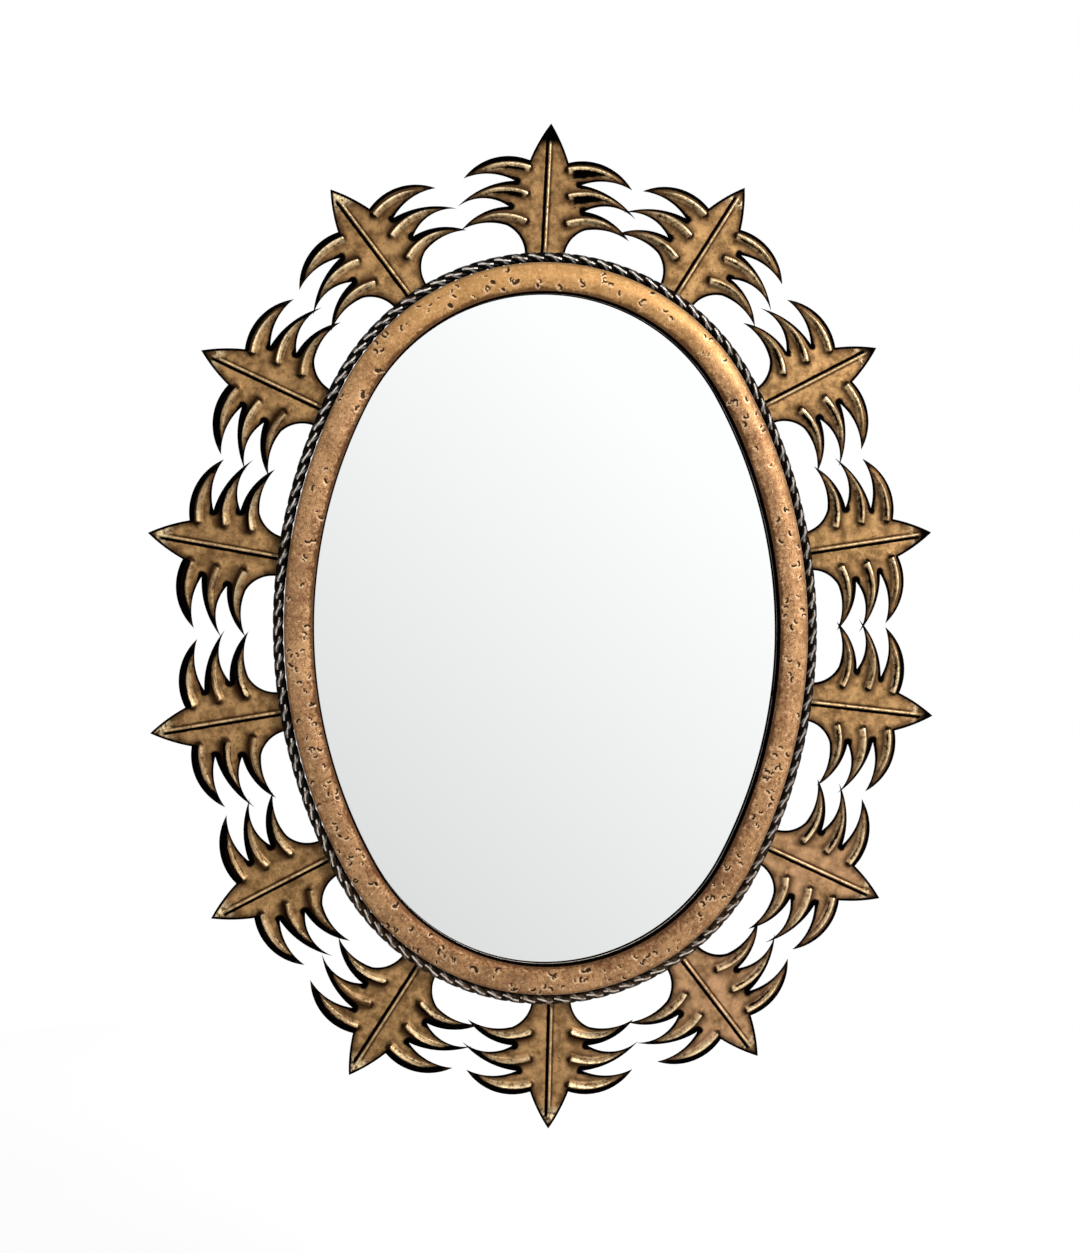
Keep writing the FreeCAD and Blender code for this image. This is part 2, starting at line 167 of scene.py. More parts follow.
class Signal:
    """A number that varies over a surface, with shader maths behind Python's operators."""

    def __init__(self, sheet: "NodeSheet", socket: bpy.types.NodeSocket) -> None:
        """Wrap an output socket of a sheet of nodes."""
        self.sheet = sheet
        self.socket = socket

    def maths(self, operation: str, *terms: "Signal | float") -> "Signal":
        """Add one Math node.

        Args:
            operation: the Math node's operation.
            terms: its operands, in order.

        Returns:
            The node's result.
        """
        made = self.sheet.node("ShaderNodeMath", {"operation": operation}, dict(enumerate(terms)))
        return Signal(self.sheet, made.outputs["Value"])

    def __add__(self, other: "Signal | float") -> "Signal":
        """Sum."""
        return self.maths("ADD", self, other)

    def __radd__(self, other: float) -> "Signal":
        """Sum, with the number first."""
        return self.maths("ADD", other, self)

    def __sub__(self, other: "Signal | float") -> "Signal":
        """Difference."""
        return self.maths("SUBTRACT", self, other)

    def __rsub__(self, other: float) -> "Signal":
        """Difference, with the number first."""
        return self.maths("SUBTRACT", other, self)

    def __mul__(self, other: "Signal | float") -> "Signal":
        """Product."""
        return self.maths("MULTIPLY", self, other)

    def __rmul__(self, other: float) -> "Signal":
        """Product, with the number first."""
        return self.maths("MULTIPLY", other, self)

    def __abs__(self) -> "Signal":
        """Size without sign."""
        return self.maths("ABSOLUTE", self)

    def most(self, other: "Signal | float") -> "Signal":
        """Larger of two."""
        return self.maths("MAXIMUM", self, other)

    def least(self, other: "Signal | float") -> "Signal":
        """Smaller of two."""
        return self.maths("MINIMUM", self, other)

    def ramp(self, low: float = 0.0, high: float = 1.0) -> "Signal":
        """Soft step from 0 to 1.

        Args:
            low: where the step starts; it may lie above high.
            high: where the step is full.

        Returns:
            The step.
        """
        made = self.sheet.node(
            "ShaderNodeMapRange", {"interpolation_type": "SMOOTHSTEP"},
            {"Value": self, "From Min": low, "From Max": high, "To Min": 0.0, "To Max": 1.0})
        return Signal(self.sheet, made.outputs["Result"])


class NodeSheet:
    """Node tree of a material or of the world."""

    COLOUR_MIX = {"factor": 0, "under": 6, "over": 7, "result": 2}
    NOISE_MIDDLE = 0.5
    NOISE_ROUGHNESS = 0.6

    def __init__(self, owner: bpy.types.Material | bpy.types.World) -> None:
        """Clear the owner's nodes and start afresh.

        Args:
            owner: the material or world that takes the nodes.
        """
        owner.use_nodes = True
        self.tree = owner.node_tree
        self.tree.nodes.clear()

    def node(self, kind: str, settings: dict | None = None, sockets: dict | None = None) -> bpy.types.Node:
        """Add a node.

        Args:
            kind: the node's type.
            settings: its own settings, which are set first.
            sockets: values or links of its inputs, by name or number.

        Returns:
            The new node.
        """
        made = self.tree.nodes.new(kind)
        for name, value in (settings or {}).items():
            setattr(made, name, value)
        for key, value in (sockets or {}).items():
            socket = made.inputs[key]
            source = value.socket if isinstance(value, Signal) else value
            if isinstance(source, bpy.types.NodeSocket):
                self.tree.links.new(source, socket)
            else:
                socket.default_value = source
        return made

    def mark(self, mark: Mark) -> Signal:
        """A mark that the piece carries on its vertices."""
        made = self.node("ShaderNodeAttribute", {"attribute_name": mark.value})
        return Signal(self, made.outputs["Fac"])

    def place(self) -> bpy.types.NodeSocket:
        """Object coordinates, in metres."""
        return self.node("ShaderNodeTexCoord").outputs["Object"]

    def along(self, axis: str) -> Signal:
        """One of the object's own coordinates, in metres."""
        parts = self.node("ShaderNodeSeparateXYZ", None, {"Vector": self.place()})
        return Signal(self, parts.outputs[axis])

    def stretched(self, scale: tuple[float, float, float]) -> bpy.types.NodeSocket:
        """Object coordinates scaled along each axis."""
        made = self.node("ShaderNodeMapping", None, {"Vector": self.place(), "Scale": scale})
        return made.outputs["Vector"]

    def cloud(self, grain: float, detail: float = 3.0, where: bpy.types.NodeSocket | None = None) -> Signal:
        """Noise about its middle value.

        Args:
            grain: size of its spots in metres.
            detail: octaves of finer noise.
            where: coordinates, or the object's own.

        Returns:
            Noise from about -0.5 to 0.5.
        """
        made = self.node("ShaderNodeTexNoise", None, {
            "Vector": where or self.place(), "Scale": 1 / grain, "Detail": detail,
            "Roughness": self.NOISE_ROUGHNESS})
        return Signal(self, made.outputs["Fac"]) - self.NOISE_MIDDLE

    def mix(self, factor: Signal | float, under: object, over: object) -> bpy.types.NodeSocket:
        """Lay one colour over another.

        Args:
            factor: how much of the upper colour shows.
            under: lower colour, a value or a socket.
            over: upper colour, a value or a socket.

        Returns:
            The mixed colour's socket.
        """
        keys = self.COLOUR_MIX
        made = self.node("ShaderNodeMix", {"data_type": "RGBA"}, {
            keys["factor"]: factor, keys["under"]: under, keys["over"]: over})
        return made.outputs[keys["result"]]

    def bump(self, height: Signal, rise: float, strength: float = 1.0) -> bpy.types.NodeSocket:
        """Fine relief for a Normal socket.

        Args:
            height: relief from about 0 to 1.
            rise: its height in metres.
            strength: how strongly it shows.

        Returns:
            The bumped normal.
        """
        made = self.node("ShaderNodeBump", None, {"Height": height, "Distance": rise, "Strength": strength})
        return made.outputs["Normal"]

    def surface(self, sockets: dict) -> None:
        """End in one Principled surface with these inputs."""
        shader = self.node("ShaderNodeBsdfPrincipled", None, sockets)
        self.node("ShaderNodeOutputMaterial", None, {"Surface": shader.outputs["BSDF"]})


# Finishes


@dataclass(frozen=True)
class Finish:
    """A procedural material that its pieces share."""

    title: str

    def material(self) -> bpy.types.Material:
        """The finish as a material, made on first use.

        Returns:
            The material.
        """
        known = bpy.data.materials.get(self.title)
        if known:
            return known
        made = bpy.data.materials.new(self.title)
        self.lay(NodeSheet(made))
        return made

    def lay(self, sheet: NodeSheet) -> None:
        """Add the finish's nodes to an empty sheet."""
        raise NotImplementedError


@dataclass(frozen=True)
class LeafSigns:
    """What the leaf's finish reads: marks, three sizes of unevenness and the sides of a crest."""

    rim: Signal
    crest: Signal
    out: Signal
    end: Signal
    share: Signal
    rib: Signal
    lance: Signal
    tip: Signal
    heavy: Signal
    under: Signal
    back: Signal
    clouds: Signal
    spots: Signal
    specks: Signal
    wander: Signal
    outer: Signal
    inner: Signal
    ribbed: Signal


@dataclass(frozen=True)
class GildedLeaf(Finish):
    """Bronze gold wiped over black paint: bright on the beads with painted highlights, black in the flanks
    with painted shade where they face away from the light, and black along the rim.
    """

    dull: Colour = paint(112, 83, 51)
    gold: Colour = paint(185, 144, 95)
    rosy: Colour = paint(214, 166, 130)
    # Colour of the painted highlights, and of gold worn bright on raised parts.
    bright: Colour = paint(252, 226, 180)
    # Brown of the antiquing, also used as painted shade on sides away from the light.
    brown: Colour = paint(54, 33, 18)
    # Black paint, also used as painted shadow on flanks and sides away from the light.
    black: Colour = paint(4, 3, 3)
    soot: Colour = paint(38, 32, 27)
    bare: Colour = paint(82, 68, 54)
    cloud_size: float = 0.016
    spot_size: float = 0.0055
    speck_size: float = 0.0024
    relief: float = 0.00025
    relief_strength: float = 0.6
    outer_side: Span = (-0.2, 0.6)
    ribbed_part: Span = (0.74, 0.62)
    brown_specks: Span = (0.06, 0.3)
    top_leaf: Span = (0.02, 0.09)
    right_part: Span = (-0.06, 0.2)
    low_part: Span = (-0.34, -0.56)
    valley_end: Span = (5.5, 0.4)
    valley_out: Span = (0.2, 1.6)
    valley_fade: Span = (11.0, 2.5)
    within_end: Span = (6.5, 0.4)
    within_out: Span = (-2.8, -5.6)
    within_fade: Span = (11.5, 4.0)
    root_share: Span = (0.1, 0.0)
    root_gap: Span = (0.2, 1.2)
    root_fade: Span = (8.5, 2.4)
    rib_foot: Span = (1.1, 1.6)
    rib_shade: Span = (3.8, 2.0)
    rim_shade: Span = (8.0, 1.8)
    blade_start: Span = (-0.1, 0.25)
    blade_tip: Span = (0.1, 0.3)
    blade_rim: Span = (9.0, 1.5)
    blade_side: Span = (-1.0, 1.0)
    speckles: Span = (0.1, 1.0)
    slope_fade: Span = (5.6, 1.4)
    slope_share: Span = (0.95, 0.4)
    slope_end: Span = (2.4, 0.6)
    slope_rim: Span = (1.5, 3.5)
    ridge_fade: Span = (2.6, 0.8)
    ridge_share: Span = (0.9, 0.4)
    wire_fade: Span = (1.2, 0.4)
    gleam_start: Span = (0.3, 0.7)
    gleam_tip: Span = (0.42, 0.34)
    gleam_rim: Span = (1.4, 3.0)
    gleam_side: Span = (-1.0, 2.0)
    flank_cover: Span = (-0.5, 0.6)
    flank_rim: Span = (6.4, 4.2)
    flank_out: Span = (4.6, 3.0)
    flank_heavy: Span = (0.4, 0.7)
    flank_end: Span = (1.6, 0.3)
    bead_foot: float = 2.2
    bead_edge: Span = (0.5, -0.5)
    under_reach: float = 6.5
    under_share: Span = (0.8, 0.2)
    under_edge: Span = (1.0, -0.8)
    under_start: Span = (0.0, 0.08)
    rim_line: float = 2.2
    rim_edge: Span = (0.25, -0.45)
    rim_thinning: Span = (0.45, 0.95)
    groove_foot: Span = (1.0, 1.3)
    groove_fade: Span = (4.3, 3.5)
    black_point: Span = (0.36, 0.58)
    comma_share: Span = (0.05, 0.0)
    comma_gap: Span = (0.5, 1.1)
    comma_fade: Span = (4.4, 3.2)
    claw_tip: Span = (0.92, 1.01)

    def signs(self, sheet: NodeSheet) -> LeafSigns:
        """Read the leaf's marks, and work out what several layers share.

        Args:
            sheet: sheet that takes the nodes.

        Returns:
            The signs.
        """
        marks = {mark.value: sheet.mark(mark) for mark in (
            Mark.RIM, Mark.CREST, Mark.OUT, Mark.END, Mark.SHARE, Mark.RIB, Mark.LANCE, Mark.TIP,
            Mark.HEAVY, Mark.UNDER, Mark.BACK)}
        clouds, spots = sheet.cloud(self.cloud_size), sheet.cloud(self.spot_size)
        specks = sheet.cloud(self.speck_size, detail=2.0)
        outer = marks["out"].ramp(*self.outer_side)
        return LeafSigns(**marks, clouds=clouds, spots=spots, specks=specks,
                         wander=spots * 2.4 + specks * 1.2, outer=outer, inner=1 - outer,
                         ribbed=marks["lance"].ramp(*self.ribbed_part))

    def ground(self, sheet: NodeSheet, signs: LeafSigns) -> bpy.types.NodeSocket:
        """Mottled gold, darker on the top leaf and rosier at the lower right.

        Args:
            sheet: sheet that takes the nodes.
            signs: what the finish reads.

        Returns:
            The gold's colour.
        """
        clouds, spots, specks = signs.clouds, signs.spots, signs.specks
        gold = sheet.mix((clouds * 1.9 + spots * 1.6 + 0.5).ramp(), self.dull, self.gold)
        gold = sheet.mix((specks + spots * 0.6).ramp(*self.brown_specks) * 0.6, gold, self.brown)
        gold = sheet.mix(sheet.along("Z").ramp(*self.top_leaf) * 0.22, gold, self.brown)
        low_right = sheet.along("X").ramp(*self.right_part) * sheet.along("Z").ramp(*self.low_part)
        return sheet.mix(low_right * (0.32 + clouds * 1.4), gold, self.rosy)

    def hollows_and_shade(self, signs: LeafSigns) -> Signal:
        """Brown antiquing between the claws, round the roots of beads, beside the midrib and inside the
        rim, with painted shade on claw sides and the lance edge that face away from the light.

        Args:
            signs: what the finish reads.

        Returns:
            How brown the surface is.
        """
        crest, heavy, rib, wander = signs.crest, signs.heavy, abs(signs.rib), signs.wander
        past_root, beside = signs.end + wander * 1.5, signs.out + wander
        # Painted shade beside the outer flank, stronger where the flank faces away from the light.
        valley = signs.outer * past_root.ramp(*self.valley_end) * beside.ramp(*self.valley_out)
        valley = valley * crest.ramp(*self.valley_fade) * (0.5 + heavy * 0.6)
        # Painted shade on the inner slope, stronger where that slope faces away from the light.
        within = signs.inner * past_root.ramp(*self.within_end) * beside.ramp(*self.within_out)
        within = within * crest.ramp(*self.within_fade) * (1.25 - heavy * 0.7)
        root = signs.share.ramp(*self.root_share) * signs.end.ramp(*self.root_gap)
        root = root * (crest + wander).ramp(*self.root_fade) * 0.9
        gutter = rib.ramp(*self.rib_foot) * (rib + wander * 0.6).ramp(*self.rib_shade) * signs.ribbed * 0.85
        border = (signs.rim + wander * 1.4).ramp(*self.rim_shade) * 0.8
        # Brown along the lance's edge, heavier on its shaded side as painted shade.
        blade = signs.lance.ramp(*self.blade_start) * signs.tip.ramp(*self.blade_tip)
        blade = blade * (signs.rim + wander).ramp(*self.blade_rim)
        blade = blade * (0.45 + signs.rib.ramp(*self.blade_side) * 0.5)
        return valley.most(within).most(root).most(gutter).most(border).most(blade)

    def rubbed_highlight(self, signs: LeafSigns) -> Signal:
        """Painted highlights on the lit slopes, along the beads and the midrib and near the point, where
        the gold is also worn bright.

        Args:
            signs: what the finish reads.

        Returns:
            How bright the surface is.
        """
        crest, share, wander = signs.crest, signs.share, signs.wander
        speckled = (0.62 + signs.spots * 2.2 + signs.specks * 2.8).ramp(*self.speckles)
        # Painted light on the inner slope, brighter where that slope faces the light.
        slope = signs.inner * (crest + wander).ramp(*self.slope_fade) * share.ramp(*self.slope_share)
        slope = slope * signs.end.ramp(*self.slope_end) * signs.rim.ramp(*self.slope_rim)
        slope = slope * (signs.heavy - 0.26).most(0.08) * 1.7 * speckled
        # Painted highlight along each crest line, also worn gold.
        ridge = (crest + abs(signs.out) + wander * 0.4).ramp(*self.ridge_fade)
        ridge = ridge * share.ramp(*self.ridge_share) * (0.38 + speckled * 0.7)
        wire = (abs(signs.rib) + wander * 0.2).ramp(*self.wire_fade) * signs.ribbed
        wire = wire * (0.34 + signs.clouds + signs.specks * 1.6)
        # Painted highlight near the point, fainter on the midrib's shaded side.
        gleam = signs.lance.ramp(*self.gleam_start) * signs.tip.ramp(*self.gleam_tip)
        gleam = gleam * signs.rim.ramp(*self.gleam_rim) * speckled
        gleam = gleam * (1 - signs.rib.ramp(*self.gleam_side) * 0.4)
        return slope.most(ridge).most(wire).most(gleam).least(1.0)

    def black_and_shadow(self, signs: LeafSigns) -> Signal:
        """Black paint left on the flanks, below the beads, along the rim and the midrib, and on the points;
        on the flanks, below the beads and beside the midrib it is also painted shadow on the sides away
        from the light.

        Args:
            signs: what the finish reads.

        Returns:
            How black the surface is.
        """
        crest, out, rib, rim, wander = signs.crest, signs.out, signs.rib, signs.rim, signs.wander
        heavy, share = signs.heavy, signs.share
        outside = out.most(0.0)
        # Black on the outer flank: antiquing, widened as painted shade where the flank faces away from the
        # light.
        covered = (outside - (outside + rim) * (1 - heavy) + wander * 0.8).ramp(*self.flank_cover)
        near_edge = (out + wander).ramp(*self.flank_out) * heavy.ramp(*self.flank_heavy)
        flank = covered * signs.outer * signs.end.ramp(*self.flank_end)
        flank = flank * rim.ramp(*self.flank_rim).most(near_edge)
        # Black below the bead: antiquing, with painted shadow where that side faces away from the light.
        foot = self.bead_foot + signs.under * self.under_reach * share.ramp(*self.under_share)
        below = signs.inner * (out + wander * 0.5 + self.bead_foot).ramp(*self.bead_edge)
        below = below * (wander * 0.8 - out - foot).ramp(*self.under_edge) * share.ramp(*self.under_start)
        thin = share.ramp(*self.rim_thinning) + (heavy - 0.6) * 1.2
        line = (rim + thin + wander * 0.3 - self.rim_line).ramp(*self.rim_edge)
        # Black beside the midrib on its shaded side only: painted shadow.
        groove = rib.ramp(*self.groove_foot) * (rib + wander * 0.4).ramp(*self.groove_fade) * signs.ribbed
        point = (signs.tip + wander * 0.05).ramp(*self.black_point)
        comma = share.ramp(*self.comma_share) * (signs.end + wander * 0.3).ramp(*self.comma_gap)
        comma = comma * (crest + wander).ramp(*self.comma_fade) * (1.35 - heavy)
        claw = (share + wander * 0.02).ramp(*self.claw_tip) * 0.9
        return flank.most(below).most(line).most(groove).most(point).most(claw).most(comma)

    def lay(self, sheet: NodeSheet) -> None:
        """Lay gold, brown recesses with painted shade, bright beads with painted highlights and black paint
        with painted shadow over each other, with bare iron behind.

        Args:
            sheet: empty sheet that takes the nodes.
        """
        signs = self.signs(sheet)
        rubbed_highlight, dark = self.rubbed_highlight(signs), self.black_and_shadow(signs)
        shaded = sheet.mix(self.hollows_and_shade(signs), self.ground(sheet, signs), self.brown)
        front = sheet.mix(dark, sheet.mix(rubbed_highlight, shaded, self.bright), self.black)
        iron = sheet.mix((signs.clouds * 1.6 + signs.spots + 0.5).ramp(), self.soot, self.bare)
        uneven = signs.spots * 0.6 + signs.specks + 0.5
        sheet.surface({
            "Base Color": sheet.mix(signs.back, front, iron),
            "Metallic": (0.3 + rubbed_highlight * 0.6) * (1 - dark.most(signs.back)),
            "Roughness": 0.44 + signs.spots * 0.3,
            "Specular IOR Level": 0.0,
            "Normal": sheet.bump(uneven, self.relief, self.relief_strength),
        })


@dataclass(frozen=True)
class PunchedBand(Finish):
    """Sponged bronze gold with dark punch marks and painted highlights on the lit side of their rims, a
    black inner wall and worn bright edges.
    """

    dull: Colour = paint(140, 102, 70)
    gold: Colour = paint(204, 158, 111)
    bright: Colour = paint(244, 208, 168)
    brown: Colour = paint(72, 45, 28)
    yellow: Colour = paint(208, 158, 90)
    red: Colour = paint(112, 66, 42)
    pit: Colour = paint(24, 13, 9)
    black: Colour = paint(4, 3, 3)
    worn: Colour = paint(196, 184, 172)
    cloud_size: float = 0.022
    spot_size: float = 0.0038
    fleck_size: float = 0.0026
    grain_size: float = 0.0014
    relief: float = 0.00022
    relief_strength: float = 0.6
    wall_end: float = 11.0
    outer_edge: float = 38.5
    brown_grain: Span = (0.05, 0.24)
    red_flecks: Span = (0.05, 0.2)
    bright_spots: Span = (0.1, 0.3)
    low_part: Span = (-0.35, -0.62)
    top_part: Span = (-0.1, 0.02)
    smudge_fade: Span = (16.0, 3.0)
    inner_fade: Span = (6.0, 1.6)
    outer_fade: Span = (-4.5, -1.5)
    outer_wear: Span = (-1.4, -0.6)
    pit_edge: Span = (0.8, 1.15)
    wall_edge: Span = (0.4, -0.4)
    foot_wear: Span = (1.7, 0.5)

    def mottled(self, sheet: NodeSheet, clouds: Signal, spots: Signal, grain: Signal,
                smudge: Signal) -> bpy.types.NodeSocket:
        """Gold sponged over brown, flecked with red and bright spots, with painted shade that makes it
        darker below and painted light that makes it yellower on top.

        Args:
            sheet: sheet that takes the nodes.
            clouds, spots, grain: three sizes of unevenness.
            smudge: soft stain beside the inner wall.

        Returns:
            The gold's colour.
        """
        height = sheet.along("Z")
        flecks = sheet.cloud(self.fleck_size, detail=2.0) + smudge * 0.08
        gold = sheet.mix((clouds * 1.4 + spots * 1.6 + 0.52).ramp(), self.dull, self.gold)
        gold = sheet.mix((grain + spots * 0.5).ramp(*self.brown_grain) * 0.75, gold, self.brown)
        gold = sheet.mix(flecks.ramp(*self.red_flecks) * 0.75, gold, self.red)
        gold = sheet.mix((spots - grain * 0.9).ramp(*self.bright_spots) * 0.55, gold, self.bright)
        # Painted shade towards the bottom and painted light towards the top.
        gold = sheet.mix(height.ramp(*self.low_part) * 0.12, gold, self.brown)
        return sheet.mix(height.ramp(*self.top_part) * 0.4, gold, self.yellow)

    def lay(self, sheet: NodeSheet) -> None:
        """Lay mottled gold, shaded and worn edges, painted highlights on the punch rims, punch marks and
        the black wall over each other.

        Args:
            sheet: empty sheet that takes the nodes.
        """
        girth, punch, lip = (sheet.mark(mark) for mark in (Mark.GIRTH, Mark.PUNCH, Mark.LIP))
        clouds, spots = sheet.cloud(self.cloud_size), sheet.cloud(self.spot_size)
        grain = sheet.cloud(self.grain_size, detail=2.0)
        past_wall, past_edge = girth - self.wall_end, girth - self.outer_edge
        low = sheet.along("Z").ramp(*self.low_part)
        smudge = (past_wall + clouds * 12.0).ramp(*self.smudge_fade)
        gold = self.mottled(sheet, clouds, spots, grain, smudge)
        inner = (past_wall + spots * 6.0 + clouds * 4.0).ramp(*self.inner_fade) * 0.85
        outer = (past_edge + spots * 2.0).ramp(*self.outer_fade) * 0.45
        gold = sheet.mix(outer.most(inner).most(smudge * (0.12 + low * 0.3)), gold, self.brown)
        worn_edge = (past_edge + grain * 0.8).ramp(*self.outer_wear) * (0.2 + clouds * 0.8)
        gold = sheet.mix(worn_edge, gold, self.worn)
        # Painted highlight on the lit side of each punch rim.
        gold = sheet.mix(lip * (0.6 + spots), gold, self.bright)
        marked = sheet.mix((punch + grain * 0.8).ramp(*self.pit_edge) * 0.92, gold, self.pit)
        wall = (past_wall + grain * 0.8).ramp(*self.wall_edge)
        worn_foot = (girth + grain).ramp(*self.foot_wear) * (0.35 + low * 0.5 + clouds * 1.6)
        sheet.surface({
            "Base Color": sheet.mix(wall, marked, sheet.mix(worn_foot, self.black, self.worn)),
            "Metallic": 0.3 - wall * 0.3,
            "Roughness": 0.46 + spots * 0.35,
            "Specular IOR Level": 0.0,
            "Normal": sheet.bump(spots * 0.8 + grain + 0.5, self.relief, self.relief_strength),
        })


@dataclass(frozen=True)
class RopeIron(Finish):
    """Iron wire with a black finish and painted highlight streaks along the top of its twist."""

    black: Colour = paint(8, 7, 6)
    iron: Colour = paint(72, 54, 40)
    tan: Colour = paint(176, 140, 104)
    # Colour of the painted highlight streaks.
    bright: Colour = paint(224, 219, 212)
    cloud_size: float = 0.05
    spot_size: float = 0.006
    grain_size: float = 0.0011
    relief: float = 0.00025
    relief_strength: float = 0.6
    low_part: Span = (-0.35, -0.58)
    right_part: Span = (0.06, 0.2)
    streak_edge: Span = (0.8, 0.3)
    crown_edge: Span = (0.9, 1.0)
    iron_edge: Span = (0.1, 1.5)

    def lay(self, sheet: NodeSheet) -> None:
        """Paint long highlight streaks over the black on the front of each wire, less so at the right, with
        bare iron beside them.

        Args:
            sheet: empty sheet that takes the nodes.
        """
        crown, streak = sheet.mark(Mark.TWIST), sheet.mark(Mark.STREAK)
        clouds, spots = sheet.cloud(self.cloud_size), sheet.cloud(self.spot_size)
        grain = sheet.cloud(self.grain_size, detail=2.0)
        low = sheet.along("Z").ramp(*self.low_part)
        # Painted highlight streaks, stronger towards the bottom.
        streak_highlight = (streak + spots * 1.4 + grain * 0.8).ramp(*self.streak_edge)
        streak_highlight = streak_highlight * (0.95 + low * 0.4 + clouds * 1.4)
        streak_highlight = streak_highlight * (1 - sheet.along("X").ramp(*self.right_part) * 0.5)
        # Fainter painted highlight along each wire's crown, seen from any side.
        side = (crown + spots * 0.4).ramp(*self.crown_edge) * 0.25
        rusty = (1.9 - streak + spots * 2.0 + clouds * 2.0).ramp(*self.iron_edge)
        base = sheet.mix(rusty, self.black, self.iron)
        base = sheet.mix((spots * 3.0 + grain * 2.0 + 0.4).ramp() * low * 0.14, base, self.tan)
        sheet.surface({
            "Base Color": sheet.mix(streak_highlight.most(side), base, sheet.mix(low * 0.3, self.bright, self.tan)),
            "Metallic": streak_highlight * 0.4,
            "Roughness": 0.42 + spots * 0.3,
            "Specular IOR Level": 0.04,
            "Normal": sheet.bump(spots * 0.7 + grain + 0.5, self.relief, self.relief_strength),
        })


@dataclass(frozen=True)
class PaintedIron(Finish):
    """Black paint over iron, cloudy and a little rusty."""

    black: Colour = paint(30, 27, 25)
    grey: Colour = paint(62, 57, 52)
    rust: Colour = paint(92, 58, 36)
    gloss: float = 0.5
    cloud_size: float = 0.03
    spot_size: float = 0.006
    grain_size: float = 0.0015
    relief: float = 0.0002
    relief_strength: float = 0.5
    rust_spots: Span = (0.18, 0.36)

    def lay(self, sheet: NodeSheet) -> None:
        """Vary the paint in soft clouds with small rusty spots.

        Args:
            sheet: empty sheet that takes the nodes.
        """
        clouds, spots = sheet.cloud(self.cloud_size), sheet.cloud(self.spot_size)
        grain = sheet.cloud(self.grain_size, detail=2.0)
        base = sheet.mix((clouds * 1.5 + spots * 0.6 + 0.45).ramp(), self.black, self.grey)
        rusty = (spots + clouds * 0.6).ramp(*self.rust_spots) * 0.6
        sheet.surface({
            "Base Color": sheet.mix(rusty, base, self.rust),
            "Metallic": 0.1,
            "Roughness": self.gloss + spots * 0.3,
            "Specular IOR Level": 0.1,
            "Normal": sheet.bump(spots + grain * 0.6 + 0.5, self.relief, self.relief_strength),
        })


@dataclass(frozen=True)
class ZincSteel(Finish):
    """Plated steel of the hanger and the tabs, lightly brushed and dulled."""

    pale: Colour = paint(176, 174, 168)
    dark: Colour = paint(118, 114, 108)
    cloud_size: float = 0.012
    brush_size: float = 0.004
    brushing: tuple[float, float, float] = (1.0, 1.0, 9.0)
    relief: float = 0.00008
    relief_strength: float = 0.4

    def lay(self, sheet: NodeSheet) -> None:
        """Brush the plate along one direction and dull it in clouds.

        Args:
            sheet: empty sheet that takes the nodes.
        """
        clouds = sheet.cloud(self.cloud_size)
        brush = sheet.cloud(self.brush_size, detail=4.0, where=sheet.stretched(self.brushing))
        sheet.surface({
            "Base Color": sheet.mix((clouds * 1.4 + brush + 0.5).ramp(), self.dark, self.pale),
            "Metallic": 0.9,
            "Roughness": 0.36 + clouds * 0.3 + brush * 0.12,
            "Normal": sheet.bump(brush + 0.5, self.relief, self.relief_strength),
        })


@dataclass(frozen=True)
class SilveredGlass(Finish):
    """Flat mirror glass, silvered behind."""

    silver: Colour = (0.985, 0.985, 0.985, 1.0)
    haze: float = 0.012
    haze_spread: float = 0.01
    film_size: float = 0.09

    def lay(self, sheet: NodeSheet) -> None:
        """Give a clear reflection with the faintest haze.

        Args:
            sheet: empty sheet that takes the nodes.
        """
        film = sheet.cloud(self.film_size, detail=2.0)
        sheet.surface({
            "Base Color": self.silver,
            "Metallic": 1.0,
            "Roughness": (film * self.haze_spread + self.haze).most(0.0),
        })


@dataclass(frozen=True)
class Hardboard(Finish):
    """Brown pressed fibre board, smooth with a fine felted grain."""

    dark: Colour = paint(96, 66, 42)
    pale: Colour = paint(142, 104, 70)
    cloud_size: float = 0.06
    fibre_size: float = 0.0022
    fibre_lay: tuple[float, float, float] = (1.0, 1.0, 0.35)
    pale_flecks: Span = (0.12, 0.3)
    relief: float = 0.0002
    relief_strength: float = 0.4

    def lay(self, sheet: NodeSheet) -> None:
        """Scatter pale fibres over a cloudy brown.

        Args:
            sheet: empty sheet that takes the nodes.
        """
        clouds = sheet.cloud(self.cloud_size)
        fibres = sheet.cloud(self.fibre_size, detail=4.0, where=sheet.stretched(self.fibre_lay))
        base = sheet.mix((clouds * 0.9 + fibres * 1.1 + 0.45).ramp(), self.dark, self.pale)
        sheet.surface({
            "Base Color": sheet.mix(fibres.ramp(*self.pale_flecks) * 0.35, base, self.pale),
            "Roughness": 0.72 + fibres * 0.2,
            "Normal": sheet.bump(fibres + 0.5, self.relief, self.relief_strength),
        })


# Plane geometry


